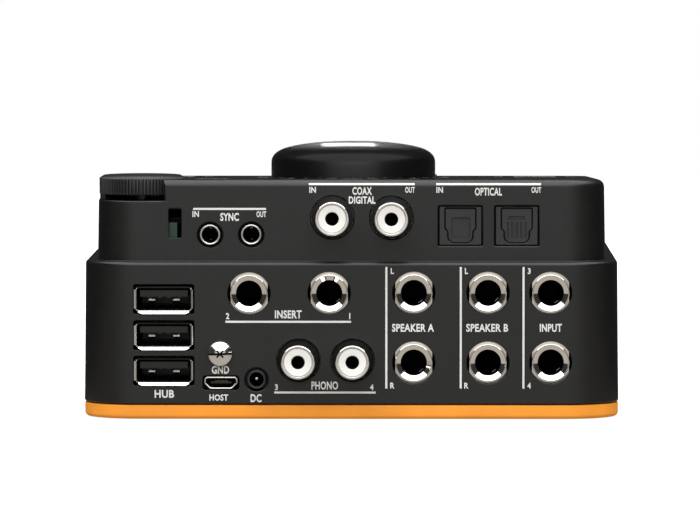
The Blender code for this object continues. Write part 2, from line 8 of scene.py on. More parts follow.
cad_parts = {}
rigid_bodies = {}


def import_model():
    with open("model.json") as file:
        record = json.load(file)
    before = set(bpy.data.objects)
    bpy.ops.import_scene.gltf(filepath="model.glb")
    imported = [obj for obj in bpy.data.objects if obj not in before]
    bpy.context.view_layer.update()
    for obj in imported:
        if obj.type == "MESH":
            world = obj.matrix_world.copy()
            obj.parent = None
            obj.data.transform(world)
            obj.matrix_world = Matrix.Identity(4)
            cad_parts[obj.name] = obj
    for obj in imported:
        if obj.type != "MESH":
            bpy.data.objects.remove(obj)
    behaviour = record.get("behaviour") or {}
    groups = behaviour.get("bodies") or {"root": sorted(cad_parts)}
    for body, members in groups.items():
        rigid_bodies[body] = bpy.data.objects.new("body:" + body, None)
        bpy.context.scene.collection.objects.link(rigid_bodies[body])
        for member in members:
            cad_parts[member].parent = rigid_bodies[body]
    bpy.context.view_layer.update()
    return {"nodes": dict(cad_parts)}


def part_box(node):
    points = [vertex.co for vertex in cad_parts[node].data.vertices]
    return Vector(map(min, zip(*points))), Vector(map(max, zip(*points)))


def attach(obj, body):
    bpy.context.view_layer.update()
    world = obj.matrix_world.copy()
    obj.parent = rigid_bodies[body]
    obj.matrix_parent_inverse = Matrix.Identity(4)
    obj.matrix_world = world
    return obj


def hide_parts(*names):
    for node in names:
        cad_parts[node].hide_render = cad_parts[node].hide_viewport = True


for old in list(bpy.data.objects):
    bpy.data.objects.remove(old, do_unlink=True)

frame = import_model()

MM = 0.001
NODES = frame["nodes"]
knob_low, knob_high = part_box("main_knob")
OY = (knob_low.y + knob_high.y) / 2  # the knob stands at the housing's middle


def centre(node):
    """Middle of a CAD node's box in the housing's own millimetres."""
    lo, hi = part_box(node)
    return ((lo.x + hi.x) / 2 / MM, ((lo.y + hi.y) / 2 - OY) / MM, (lo.z + hi.z) / 2 / MM)


def extent(node):
    lo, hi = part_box(node)
    return (lo.x / MM, (lo.y - OY) / MM, lo.z / MM), (hi.x / MM, (hi.y - OY) / MM, hi.z / MM)


# ------------------------------------------------------------------ sizes, in millimetres from the housing's middle
SEAM_Z = 3.6
LOW_WIDE = 0.33
UP_WIDE = 0.2
BASE_WIDE = 0.4
BASE_H = 3.3
LEDGE_Z = 37.1
SHELF_Z = 51.4
WELL_Z = 53.3
WELL_R = 20.9
PANEL_HALF = 55.6
WHEEL = centre("corner_wheel")[:2]
WHEEL_R = 10.0
KNOB_TOP = extent("main_knob")[1][2]
KNOB_R = 20.1


def top_z(y):
    return 56.63 - 0.0330 * (y + 63.0)


def half_low(z):
    return 63.15 - 0.32 * (z - 3.6) / 33.5


def half_up(z):
    return 60.09 - 0.26 * (z - 38.3) / 16.5


# ------------------------------------------------------------------ materials
def link(tree, a, b):
    tree.links.new(a, b)


class Surface:
    """A Principled material with procedural colour, roughness and relief in the object's own millimetres."""

    def __init__(self, name, colour, roughness, metallic=0.0, specular=0.5, coat=0.0, coat_roughness=0.1, sheen=0.0):
        self.material = bpy.data.materials.new(name)
        self.material.use_nodes = True
        self.tree = self.material.node_tree
        self.shader = self.tree.nodes["Principled BSDF"]
        self.colour = colour
        self.shader.inputs["Base Color"].default_value = (*colour, 1.0)
        self.shader.inputs["Roughness"].default_value = roughness
        self.shader.inputs["Metallic"].default_value = metallic
        self.shader.inputs["Specular IOR Level"].default_value = specular
        self.shader.inputs["Coat Weight"].default_value = coat
        self.shader.inputs["Coat Roughness"].default_value = coat_roughness
        self.shader.inputs["Sheen Weight"].default_value = sheen
        coords = self.node("ShaderNodeTexCoord")
        scale = self.node("ShaderNodeVectorMath")
        scale.operation = "SCALE"
        scale.inputs["Scale"].default_value = 1000.0
        link(self.tree, coords.outputs["Object"], scale.inputs[0])
        self.place = scale.outputs[0]
        self.normal = None

    def node(self, kind):
        return self.tree.nodes.new(kind)

    def math(self, operation, a, b=None):
        made = self.node("ShaderNodeMath")
        made.operation = operation
        for socket, value in zip(made.inputs, (a, b)):
            if value is None:
                continue
            if isinstance(value, (int, float)):
                socket.default_value = value
            else:
                link(self.tree, value, socket)
        return made.outputs[0]

    def noise(self, scale, detail=2.0, rough=0.5, vector=None, distortion=0.0):
        made = self.node("ShaderNodeTexNoise")
        made.inputs["Scale"].default_value = scale
        made.inputs["Detail"].default_value = detail
        made.inputs["Roughness"].default_value = rough
        made.inputs["Distortion"].default_value = distortion
        link(self.tree, vector or self.place, made.inputs["Vector"])
        return made.outputs["Fac"]

    def ranged(self, value, low, high, from_low=0.3, from_high=0.7):
        made = self.node("ShaderNodeMapRange")
        made.inputs["From Min"].default_value = from_low
        made.inputs["From Max"].default_value = from_high
        made.inputs["To Min"].default_value = low
        made.inputs["To Max"].default_value = high
        link(self.tree, value, made.inputs["Value"])
        return made.outputs["Result"]

    def tint(self, value, low, high, low_colour=None, high_colour=None):
        """Base colour that runs between two tones of the material's colour with a texture value."""
        ramp = self.node("ShaderNodeValToRGB")
        ramp.color_ramp.elements[0].position = 0.3
        ramp.color_ramp.elements[1].position = 0.7
        ramp.color_ramp.elements[0].color = (*(low_colour or [c * low for c in self.colour]), 1.0)
        ramp.color_ramp.elements[1].color = (*(high_colour or [min(1.0, c * high) for c in self.colour]), 1.0)
        link(self.tree, value, ramp.inputs["Fac"])
        link(self.tree, ramp.outputs["Color"], self.shader.inputs["Base Color"])
        return self

    def rough(self, value, low, high):
        link(self.tree, self.ranged(value, low, high), self.shader.inputs["Roughness"])
        return self

    def relief(self, value, depth_mm, strength=1.0):
        bump = self.node("ShaderNodeBump")
        bump.inputs["Strength"].default_value = strength
        bump.inputs["Distance"].default_value = depth_mm * MM
        link(self.tree, value, bump.inputs["Height"])
        if self.normal is not None:
            link(self.tree, self.normal, bump.inputs["Normal"])
        self.normal = bump.outputs["Normal"]
        link(self.tree, self.normal, self.shader.inputs["Normal"])
        return self

    def about(self, x, y):
        """Place measured from an upright axis at x, y in the housing's millimetres."""
        made = self.node("ShaderNodeVectorMath")
        made.operation = "SUBTRACT"
        made.inputs[1].default_value = (x, y + OY / MM, 0.0)
        link(self.tree, self.place, made.inputs[0])
        return made.outputs[0]

    def turned(self, x, y, scale):
        """A texture value that only changes with radius and height about an upright axis: lathe lines."""
        from_axis = self.about(x, y)
        split = self.node("ShaderNodeSeparateXYZ")
        link(self.tree, from_axis, split.inputs[0])
        square = self.math("ADD", self.math("MULTIPLY", split.outputs[0], split.outputs[0]), self.math("MULTIPLY", split.outputs[1], split.outputs[1]))
        radius = self.math("SQRT", square)
        both = self.node("ShaderNodeCombineXYZ")
        link(self.tree, radius, both.inputs[0])
        link(self.tree, split.outputs[2], both.inputs[1])
        return self.noise(scale, 3.0, 0.6, vector=both.outputs[0])


def plastic(name, colour, rough_low, rough_high, grain=0.012, grain_scale=4.0, **extra):
    made = Surface(name, colour, rough_low, **extra)
    fine = made.noise(grain_scale, 3.0, 0.55)
    broad = made.noise(0.09, 2.0)
    made.tint(broad, 0.93, 1.07).rough(made.noise(0.35, 3.0), rough_low, rough_high).relief(fine, grain, 0.35)
    return made.material


def metal(name, colour, rough_low, rough_high, brush=(0.6, 0.6, 0.6), depth=0.003, **extra):
    made = Surface(name, colour, rough_low, 1.0, **extra)
    stretch = made.node("ShaderNodeVectorMath")
    stretch.operation = "MULTIPLY"
    stretch.inputs[1].default_value = brush
    link(made.tree, made.place, stretch.inputs[0])
    lines = made.noise(3.0, 3.0, 0.6, vector=stretch.outputs[0])
    made.tint(made.noise(0.5, 2.0), 0.94, 1.03).rough(lines, rough_low, rough_high).relief(lines, depth, 0.3)
    return made.material


HOUSING = plastic("moulded_grey", (0.0044, 0.0044, 0.0046), 0.33, 0.40, 0.010, 5.5, specular=0.47)
PANEL = plastic("panel_black_gloss", (0.006, 0.006, 0.0065), 0.10, 0.14, 0.002, 2.0, specular=0.5)
RUBBER = plastic("base_orange_rubber", (0.90, 0.322, 0.032), 0.5, 0.62, 0.02, 3.2, specular=0.3)
BLACK = plastic("socket_black", (0.006, 0.006, 0.0065), 0.32, 0.42, 0.006, 3.0)
# near-black used twice: the real black of the moulded socket bodies, and painted shade lining the bores, slots and
# inner walls of metal and white parts
BLACK_AND_PAINTED_SHADE = plastic("socket_black_and_painted_shade", (0.002, 0.002, 0.002), 0.5, 0.6, 0.006, 3.0, specular=0.2)
PORT = plastic("port_black", (0.016, 0.016, 0.0165), 0.34, 0.44, 0.006, 3.0)
WHITE = plastic("insulator_white", (0.83, 0.82, 0.79), 0.3, 0.42, 0.003, 1.5)
NICKEL = metal("nickel_plate", (0.80, 0.78, 0.75), 0.10, 0.18, (0.5, 0.5, 0.5), 0.002)
BRIGHT = metal("bright_ferrule", (0.86, 0.82, 0.77), 0.05, 0.09, (0.3, 0.3, 0.3), 0.001)
SATIN = metal("satin_nickel", (0.60, 0.58, 0.55), 0.24, 0.34, (0.8, 0.8, 0.8), 0.003)
SHIELD = metal("shield_tin", (0.72, 0.71, 0.69), 0.16, 0.26, (0.3, 2.0, 0.3), 0.003)
GOLD = metal("gold_contact", (0.83, 0.62, 0.28), 0.14, 0.2)
STEEL = metal("plate_steel", (0.42, 0.42, 0.42), 0.3, 0.42, (0.15, 2.0, 0.5), 0.004)
SCREW = metal("screw_black", (0.05, 0.05, 0.052), 0.28, 0.4)
INK = plastic("print_white", (0.70, 0.70, 0.68), 0.5, 0.6, 0.004, 6.0, specular=0.3)
INK_TOP = plastic("print_pale_grey", (0.42, 0.42, 0.42), 0.5, 0.6, 0.004, 6.0, specular=0.3)
BUTTON = plastic("button_grey", (0.03, 0.03, 0.031), 0.4, 0.5, 0.008, 4.0)


def circuit_board():
    made = Surface("board_green", (0.003, 0.034, 0.02), 0.3, 0.0, coat=0.3, coat_roughness=0.2)
    tracks = made.node("ShaderNodeTexBrick")
    tracks.inputs["Scale"].default_value = 0.35
    tracks.inputs["Mortar Size"].default_value = 0.03
    link(made.tree, made.place, tracks.inputs["Vector"])
    made.tint(tracks.outputs["Fac"], 0.8, 1.5).rough(made.noise(0.8), 0.28, 0.4).relief(made.noise(2.0), 0.01, 0.3)
    return made.material


def turned_metal(name, colour, rough_low, rough_high, at, depth, coat):
    made = Surface(name, colour, rough_low, 0.9, coat=coat, coat_roughness=0.02)
    lines = made.turned(at[0], at[1], 5.0)
    made.tint(made.noise(0.12), 0.92, 1.08).rough(lines, rough_low, rough_high)
    made.relief(lines, depth, 0.5)
    return made.material


def lamp(name, colour, strength):
    made = Surface(name, colour, 0.3, 0.0, coat=0.5)
    made.tint(made.noise(1.2), 0.9, 1.08).relief(made.noise(1.5), 0.004, 0.3)
    made.shader.inputs["Emission Color"].default_value = (*colour, 1.0)
    made.shader.inputs["Emission Strength"].default_value = strength
    return made.material


BOARD = circuit_board()
KNOB = turned_metal("knob_anodised_black", (0.046, 0.045, 0.046), 0.36, 0.5, (0.0, 0.0), 0.004, 0.3)
WHEEL_METAL = turned_metal("wheel_anodised_black", (0.055, 0.055, 0.056), 0.34, 0.46, WHEEL, 0.003, 0.0)
DIAL_METAL = plastic("dial_black", (0.014, 0.014, 0.015), 0.3, 0.4, 0.006, 3.0)
LAMP_GREEN = lamp("lamp_green", (0.012, 0.05, 0.018), 0.03)
LAMP_AMBER = lamp("lamp_amber", (0.07, 0.035, 0.008), 0.03)
LAMP_RED = lamp("lamp_red", (0.06, 0.008, 0.006), 0.03)
LAMP_WHITE = lamp("lamp_white", (0.72, 0.74, 0.76), 0.25)

# ------------------------------------------------------------------ outlines and mesh helpers, in millimetres


def circle(cx, cy, r, n=64, start=0.0):
    def made(offset=0.0):
        return [(cx + (r + offset) * math.cos(start + 2 * math.pi * k / n), cy + (r + offset) * math.sin(start + 2 * math.pi * k / n)) for k in range(n)]
    return made


def rounded(cx, cy, hw, hh, r, n=8):
    def made(offset=0.0):
        w, h, rr = hw + offset, hh + offset, max(r + offset, 0.03)
        points = []
        for sx, sy, start in ((1, 1, 0), (-1, 1, 90), (-1, -1, 180), (1, -1, 270)):
            for k in range(n + 1):
                a = math.radians(start + 90 * k / n)
                points.append((cx + sx * (w - rr) + rr * math.cos(a), cy + sy * (h - rr) + rr * math.sin(a)))
        return points
    return made


def polygon(points, radius, n=5):
    """A convex or concave polygon with rounded corners; offset moves the sides outwards. Points run anticlockwise."""
    def made(offset=0.0):
        moved = []
        count = len(points)
        for i in range(count):
            p0, p1, p2 = Vector(points[i - 1]), Vector(points[i]), Vector(points[(i + 1) % count])
            a, b = (p1 - p0).normalized(), (p2 - p1).normalized()
            na, nb = Vector((a.y, -a.x)), Vector((b.y, -b.x))
            m = (na + nb) / max(1e-6, 1 + na.dot(nb))
            moved.append(p1 + m * offset)
        out = []
        for i in range(count):
            p0, p1, p2 = moved[i - 1], moved[i], moved[(i + 1) % count]
            a, b = (p0 - p1), (p2 - p1)
            turn = (p1 - p0).normalized().cross((p2 - p1).normalized())
            if abs(turn) < 1e-3:
                out.append(tuple(p1))
                continue
            angle = a.angle(b)
            r = radius + (offset if turn > 0 else -offset)
            r = max(r, 0.03)
            reach = min(r / math.tan(angle / 2), a.length * 0.48, b.length * 0.48)
            r = reach * math.tan(angle / 2)
            start, end = p1 + a.normalized() * reach, p1 + b.normalized() * reach
            middle = p1 + (a.normalized() + b.normalized()).normalized() * (r / math.sin(angle / 2))
            s, e = start - middle, end - middle
            sweep = math.atan2(s.cross(e), s.dot(e))
            for k in range(n + 1):
                t = sweep * k / n
                out.append((middle.x + s.x * math.cos(t) - s.y * math.sin(t), middle.y + s.x * math.sin(t) + s.y * math.cos(t)))
        return out
    return made


def bridge(bm, a, b, mat=0):
    n = len(a)
    for i in range(n):
        j = (i + 1) % n
        face = bm.faces.new((a[i], a[j], b[j], b[i]))
        face.material_index = mat


def loft(bm, rings, mats=None, cap_low=True, cap_high=True):
    """Rings of points joined in order into a closed skin."""
    made = [[bm.verts.new(p) for p in ring] for ring in rings]
    for i, (a, b) in enumerate(zip(made, made[1:])):
        bridge(bm, a, b, mats[i] if mats else 0)
    if cap_low:
        bm.faces.new(made[0]).material_index = mats[0] if mats else 0
    if cap_high:
        bm.faces.new(made[-1]).material_index = mats[-1] if mats else 0
    return made


def tube_loft(bm, rings, mats=None):
    """Rings joined in order and the last joined to the first: a closed ring of a part with a hole through it."""
    made = [[bm.verts.new(p) for p in ring] for ring in rings]
    for i in range(len(made)):
        bridge(bm, made[i], made[(i + 1) % len(made)], mats[i] if mats else 0)
    return made


def lathe(bm, profile, at, axis="Z", n=64, mats=None, closed=False, start=0.0):
    """A profile of (radius, height) turned about an upright axis, or about Y with at = (x, z)."""
    rings = []
    for r, h in profile:
        if axis == "Z":
            point = lambda c, s, r=r, h=h: (at[0] + r * c, at[1] + r * s, h)
        else:
            point = lambda c, s, r=r, h=h: (at[0] + r * c, h, at[1] + r * s)
        if r < 1e-6:
            rings.append([bm.verts.new(point(0, 0))])
        else:
            rings.append([bm.verts.new(point(math.cos(start + 2 * math.pi * k / n), math.sin(start + 2 * math.pi * k / n))) for k in range(n)])
    pairs = list(zip(rings, rings[1:])) + ([(rings[-1], rings[0])] if closed else [])
    for i, (a, b) in enumerate(pairs):
        mat = mats[i] if mats else 0
        if len(a) == 1 and len(b) == 1:
            continue
        for k in range(n):
            j = (k + 1) % n
            if len(a) == 1:
                face = bm.faces.new((a[0], b[j], b[k]))
            elif len(b) == 1:
                face = bm.faces.new((a[k], a[j], b[0]))
            else:
                face = bm.faces.new((a[k], a[j], b[j], b[k]))
            face.material_index = mat


def block(bm, x0, x1, y0, y1, z0, z1, bevel=0.0, steps=2, mat=0):
    """A block with its edges rounded."""
    part = bmesh.new()
    bmesh.ops.create_cube(part, size=1.0)
    bmesh.ops.scale(part, vec=(x1 - x0, y1 - y0, z1 - z0), verts=part.verts)
    bmesh.ops.translate(part, vec=((x0 + x1) / 2, (y0 + y1) / 2, (z0 + z1) / 2), verts=part.verts)
    if bevel:
        bmesh.ops.bevel(part, geom=list(part.edges), offset=bevel, segments=steps, profile=0.5, affect="EDGES")
    merge(bm, part, mat)


def merge(bm, part, mat=0):
    made = {v: bm.verts.new(v.co) for v in part.verts}
    for face in part.faces:
        bm.faces.new([made[v] for v in face.verts]).material_index = mat or face.material_index
    part.free()


def temporary(bm, name="cutter"):
    """An object for a Boolean, its millimetres turned into the frame's metres."""
    bmesh.ops.recalc_face_normals(bm, faces=bm.faces)
    for v in bm.verts:
        v.co = Vector((v.co.x * MM, v.co.y * MM + OY, v.co.z * MM))
    mesh = bpy.data.meshes.new(name)
    bm.to_mesh(mesh)
    bm.free()
    obj = bpy.data.objects.new(name, mesh)
    bpy.context.scene.collection.objects.link(obj)
    return obj


def lined(obj, mats, mark=None):
    """Gives an object its two materials; a mark paints every face of a cutter, so that its cut is lined with it."""
    for mat in mats:
        obj.data.materials.append(mat)
    if mark is not None:
        obj.data.polygons.foreach_set("material_index", [mark] * len(obj.data.polygons))
    return obj


def drop(obj):
    mesh = obj.data
    bpy.data.objects.remove(obj, do_unlink=True)
    bpy.data.meshes.remove(mesh)


def apply_boolean(obj, other, operation="DIFFERENCE", own=False, keep=False):
    modifier = obj.modifiers.new("boolean", "BOOLEAN")
    modifier.operation = operation
    modifier.solver = "EXACT"
    modifier.use_self = own
    modifier.object = other
    graph = bpy.context.evaluated_depsgraph_get()
    graph.update()
    made = bpy.data.meshes.new_from_object(obj.evaluated_get(graph))
    obj.modifiers.clear()
    old = obj.data
    obj.data = made
    bpy.data.meshes.remove(old)
    if not keep:
        drop(other)
    return obj


def trim(obj):
    """Clears any cutter cap left floating over the top."""
    bm = bmesh.new()
    bm.from_mesh(obj.data)
    stray = [v for v in bm.verts if v.co.z / MM > top_z((v.co.y - OY) / MM) + 0.6]
    bmesh.ops.delete(bm, geom=stray, context="VERTS")
    bm.to_mesh(obj.data)
    bm.free()


def finish_piece(obj, name, mats, body, replaces=(), angle=32, weighted=True):
    """Names, shades and paints a piece and lets it ride on its body."""
    obj.name = name
    obj.data.name = name
    marks = [min(p.material_index, len(mats) - 1) for p in obj.data.polygons]
    obj.data.materials.clear()
    for mat in mats:
        obj.data.materials.append(mat)
    obj.data.polygons.foreach_set("material_index", marks)
    bm = bmesh.new()
    bm.from_mesh(obj.data)
    bmesh.ops.remove_doubles(bm, verts=bm.verts, dist=1e-7)
    bmesh.ops.dissolve_degenerate(bm, edges=bm.edges, dist=1e-7)
    bm.to_mesh(obj.data)
    bm.free()
    obj.data.shade_smooth()
    obj.data.set_sharp_from_angle(angle=math.radians(angle))
    if weighted:
        modifier = obj.modifiers.new("normals", "WEIGHTED_NORMAL")
        modifier.keep_sharp = True
        modifier.weight = 80
    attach(obj, body)
    if replaces:
        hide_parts(*replaces)
    return obj


def piece(bm, name, mats, body, replaces=(), angle=32, weighted=True):
    return finish_piece(temporary(bm, name), name, mats, body, replaces, angle, weighted)


# ------------------------------------------------------------------ housing: two moulded tiers, rounded and cut for every opening
def level(half, radius, z, n=16, wide=0.0):
    return [(x, y, z(y) if callable(z) else z) for x, y in rounded(0, 0, half + wide, half, radius, n)()]


def housing_skin():
    rings = [level(62.95, 13.0, 3.6, wide=LOW_WIDE), level(63.15, 13.2, 3.8, wide=LOW_WIDE), level(half_low(36.2), 12.89, 36.2, wide=LOW_WIDE)]
    edge = half_low(36.2)
    for k in range(1, 7):
        a = math.radians(15 * k)
        h = edge - 0.9 + 0.9 * math.cos(a)
        rings.append(level(h, 12.89 - (edge - h), 36.2 + 0.9 * math.sin(a), wide=LOW_WIDE))
    for k in range(0, 5):
        t = math.radians(22.5 * k)
        h = 60.26 - 0.16 * math.sin(t)
        rings.append(level(h, 10.4 + (h - 60.09), 37.26 - 0.16 * math.cos(t), wide=UP_WIDE))
    rim = 59.83
    rings.append(level(rim, 10.15, lambda y: top_z(y) - 1.9, wide=UP_WIDE))
    for k in range(1, 9):
        a = math.radians(11.25 * k)
        h = rim - 1.9 + 1.9 * math.cos(a)
        rings.append(level(h, 10.15 - (rim - h), lambda y, a=a: top_z(y) - 1.9 + 1.9 * math.sin(a), wide=UP_WIDE))
    bm = bmesh.new()
    loft(bm, rings)
    return temporary(bm, "housing_shell")


def side_cut(bm, outline, half, depth, chamfer=0.18, side=-1):
    """A cutter through a drafted side wall with a small chamfer at its rim. Outline points are (x, z)."""
    rings = []
    for inward, offset in ((-6.0, chamfer + 0.3), (-0.3, chamfer + 0.3), (chamfer, 0.0), (depth, 0.0)):
        rings.append([(x, side * (half(z) - inward), z) for x, z in outline(offset)])
    loft(bm, rings)


def top_cut(bm, outline, depth, chamfer=0.2, floor=None, above=6.0):
    """A cutter down into the sloping top. Outline points are (x, y); a floor height makes a level bottom."""
    rings = []
    for inward, offset in ((-above, chamfer + 0.3), (-0.3, chamfer + 0.3), (chamfer, 0.0)):
        rings.append([(x, y, top_z(y) - inward) for x, y in outline(offset)])
    rings.append([(x, y, floor if floor is not None else top_z(y) - depth) for x, y in outline(0.0)])
    loft(bm, rings)


INSERTS = [(centre("insert_ferrule_1")[0], centre("insert_ferrule_1")[2]), (centre("insert_ferrule_2")[0], centre("insert_ferrule_2")[2])]


def pair(node):
    lo, hi = extent(node)
    x = (lo[0] + hi[0]) / 2
    return [(x, hi[2] - 5.2), (x, lo[2] + 5.2)]


SPEAKER_A, SPEAKER_B, LINE_IN = pair("speaker_a_ferrules"), pair("speaker_b_ferrules"), pair("line_input_ferrules")
PHONO = {name: (centre("phono_shell_" + name)[0], centre("phono_shell_" + name)[2]) for name in ("right", "left")}
COAX = {name: (centre("coax_shell_" + name)[0], centre("coax_shell_" + name)[2]) for name in ("in", "out")}
SYNC = {"in": (centre("sync_jack_in")[0], 43.4), "out": (centre("sync_jack_out")[0], 43.45)}
OPTICAL = {name: (centre("optical_port_" + name)[0], 45.5) for name in ("in", "out")}
USB = {name: (centre("usb_shield_" + name)[0], centre("usb_shield_" + name)[2]) for name in ("1", "2", "3")}
MICRO = (centre("micro_port")[0], centre("micro_port")[2])
DC = (centre("dc_inlet")[0], 9.36)
GROUND = (centre("ground_screw")[0], centre("ground_screw")[2])
SLOT = (-43.15, -40.1, 42.6, 49.66)
COMBOS = {name: (centre("combo_socket_" + name)[0], 20.5) for name in ("1", "2")}
PHONES = {name: (centre("phones_jack_" + name)[0], 20.5) for name in ("1", "2")}
DIALS = {name: centre(name + "_dial")[:2] for name in ("gain_1", "gain_2", "phones_1", "phones_2")}
BUTTONS = {name: centre(name + "_button")[:2] for name in ("speaker", "dim", "mute", "mono")}
BOSS = 55.4
JACKS = INSERTS + SPEAKER_A + SPEAKER_B + LINE_IN


def notch_outline(offset=0.0):
    """The wheel's pocket: a circle opened to the corner between two short walls with rounded ends."""
    r = 10.6 + offset
    edge = -44.2 + offset
    cx, cy = WHEEL
    dx = edge - cx
    reach = math.sqrt(r * r - dx * dx)
    round_r = 0.7
    outer = half_up(54.0)
    points = [(edge, cy - reach)]
    # down the rear wall, then round its outer corner
    for k in range(0, 6):
        a = math.radians(90 * k / 5)
        points.append((edge + round_r - round_r * math.cos(a), -outer + round_r - round_r * math.sin(a)))
    points += [(edge + round_r, -70.0), (-70.0, -70.0), (-70.0, edge + round_r)]
    for k in range(5, -1, -1):
        a = math.radians(90 * k / 5)
        points.append((-outer - UP_WIDE + round_r - round_r * math.sin(a), edge + round_r - round_r * math.cos(a)))
    points.append((cx - reach, edge))
    start = math.atan2(dx, -reach)
    end = math.atan2(-reach, dx)
    for k in range(1, 48):
        a = start + (end - start) * k / 48
        points.append((cx + r * math.cos(a), cy + r * math.sin(a)))
    return points


shell = housing_skin()

room = bmesh.new()
loft(room, [level(60.65, 10.8, 1.0, 8), level(60.43, 10.6, 35.5, 8)])
room = temporary(room)
bosses = bmesh.new()
for sx in (-1, 1):
    for sy in (-1, 1):
        lathe(bosses, [(0, 5.0), (3.2, 5.0), (3.2, 36.3), (0, 36.3)], (sx * BOSS, sy * BOSS), n=32)
apply_boolean(room, temporary(bosses))
apply_boolean(shell, room)

upper = bmesh.new()
loft(upper, [level(57.7, 8.0, 2.0, 8), level(57.4, 8.0, lambda y: top_z(y) - 2.4, 8)])
upper = temporary(upper)
seats = bmesh.new()
lathe(seats, [(0, SHELF_Z - 2.2), (12.4, SHELF_Z - 2.2), (12.4, 62.0), (0, 62.0)], WHEEL, n=48)
lathe(seats, [(0, WELL_Z - 2.3), (22.9, WELL_Z - 2.3), (22.9, 62.0), (0, 62.0)], (0, 0), n=64)
for x, y in DIALS.values():
    lathe(seats, [(0, top_z(y) - 5.5), (9.9, top_z(y) - 5.5), (9.9, 62.0), (0, 62.0)], (x, y), n=32)
for x, y in ((48.0, -24.0), (-48.0, -24.0), (27.0, 50.5), (-27.0, 50.5)):
    lathe(seats, [(0, 46.4), (2.2, 46.4), (2.2, 62.0), (0, 62.0)], (x, y), n=16)
apply_boolean(upper, temporary(seats))
apply_boolean(shell, upper)

openings = bmesh.new()
for x, z in JACKS:
    side_cut(openings, circle(x, z, 5.0), half_low, 5.0)
for x, z in PHONO.values():
    side_cut(openings, circle(x, z, 5.1), half_low, 5.0, 0.22)
for x, z in COAX.values():
    side_cut(openings, circle(x, z, 5.1), half_up, 5.0, 0.22)
for x, z in SYNC.values():
    side_cut(openings, circle(x, z, 3.05, 48), half_up, 5.0)
for x, z in OPTICAL.values():
    side_cut(openings, rounded(x, z, 5.25, 4.8, 0.35, 4), half_up, 5.0, 0.2)
for x, z in USB.values():
    side_cut(openings, rounded(x, z, 7.2, 3.5, 0.5, 4), half_low, 5.0, 0.12)
side_cut(openings, rounded(MICRO[0], MICRO[1], 4.3, 1.75, 0.9, 6), half_low, 5.0, 0.15)
side_cut(openings, circle(DC[0], DC[1], 2.85, 48), half_low, 5.0, 0.15)
side_cut(openings, circle(GROUND[0], GROUND[1], 1.7, 24), half_low, 5.0, 0.1)
side_cut(openings, rounded((SLOT[0] + SLOT[1]) / 2, (SLOT[2] + SLOT[3]) / 2, (SLOT[1] - SLOT[0]) / 2, (SLOT[3] - SLOT[2]) / 2, 0.5, 5), half_up, 5.0, 0.12)
for x, z in COMBOS.values():
    side_cut(openings, circle(x, z, 12.0, 96), half_low, 5.0, 0.3, side=1)
for x, z in PHONES.values():
    side_cut(openings, circle(x, z, 5.0), half_low, 5.0, 0.2, side=1)
apply_boolean(shell, temporary(openings))

wells = bmesh.new()
top_cut(wells, circle(0, 0, WELL_R, 128), 0, 0.0, floor=WELL_Z)
for k, (x, y) in enumerate(DIALS.values()):
    # the panel hides these rims, so they stay plain
    top_cut(wells, circle(x, y, 8.3, 64), 3.5, 0.0, above=2.0 + 0.7 * k)
for k, (x, y) in enumerate(BUTTONS.values()):
    top_cut(wells, rounded(x, y, 4.5, 3.0, 0.5, 4), 9.0, 0.0, above=5.0 + 0.2 * k)
apply_boolean(shell, temporary(wells))
trim(shell)

notch = bmesh.new()
rings = []
for inward, offset in ((-8.0, 0.55), (-0.3, 0.55), (0.25, 0.0)):
    rings.append([(x, y, top_z(y) - inward) for x, y in notch_outline(offset)])
rings.append([(x, y, SHELF_Z) for x, y in notch_outline(0.0)])
loft(notch, rings)
apply_boolean(shell, temporary(notch))
trim(shell)

recess = bmesh.new()
loft(recess, [[(x, y, top_z(y) + dz) for x, y in rounded(0, 0, PANEL_HALF + 0.3 + off, PANEL_HALF + 0.3 + off, 6.8 + off, 10)()]
              for dz, off in ((5.0, 0.4), (0.3, 0.4), (-0.1, 0.0), (-1.1, 0.0))])
recess = temporary(recess)
corner = bmesh.new()


def corner_outline(reach):
    cx, cy = WHEEL
    points = [(cx, cy + reach), (-75.0, cy + reach), (-75.0, -75.0), (cx + reach, -75.0), (cx + reach, cy)]
    for k in range(1, 24):
        a = math.radians(90 * k / 24)
        points.append((cx + reach * math.cos(a), cy + reach * math.sin(a)))
    return points


loft(corner, [[(x, y, z) for x, y in corner_outline(12.4)] for z in (45.0, 66.0)])
apply_boolean(recess, temporary(corner))
apply_boolean(shell, recess)
trim(shell)

bores = bmesh.new()
lathe(bores, [(0, 45.0), (4.1, 45.0), (4.1, 58.0), (0, 58.0)], (0, 0), n=48)
lathe(bores, [(0, 45.0), (2.4, 45.0), (2.4, 54.0), (0, 54.0)], WHEEL, n=32)
for x, y in DIALS.values():
    lathe(bores, [(0, 44.0), (1.9, 44.0), (1.9, 55.5), (0, 55.5)], (x, y), n=24)
for sx in (-1, 1):
    for sy in (-1, 1):
        lathe(bores, [(0, 4.0), (1.6, 4.0), (1.6, 15.0), (0, 15.0)], (sx * BOSS, sy * BOSS), n=20)
apply_boolean(shell, temporary(bores))

# the shelf's outer edge is rounded where it meets the drafted wall
bm = bmesh.new()
bm.from_mesh(shell.data)
shelf_edges = []
for e in bm.edges:
    a, b = e.verts
    if abs(a.co.z / MM - SHELF_Z) < 0.02 and abs(b.co.z / MM - SHELF_Z) < 0.02 and len(e.link_faces) == 2:
        n0, n1 = e.link_faces[0].normal, e.link_faces[1].normal
        outer = [max(-p.co.x / MM, -(p.co.y - OY) / MM) > 56.0 for p in (a, b)]
        if n0.angle(n1) > math.radians(60) and all(outer) and min(n0.z, n1.z) > -0.5 and e.is_convex:
            shelf_edges.append(e)
if shelf_edges:
    bmesh.ops.bevel(bm, geom=shelf_edges, offset=0.35 * MM, segments=4, profile=0.5, affect="EDGES")
bm.to_mesh(shell.data)
bm.free()
finish_piece(shell, "housing_shell", [HOUSING], "chassis", ["housing"], angle=28)

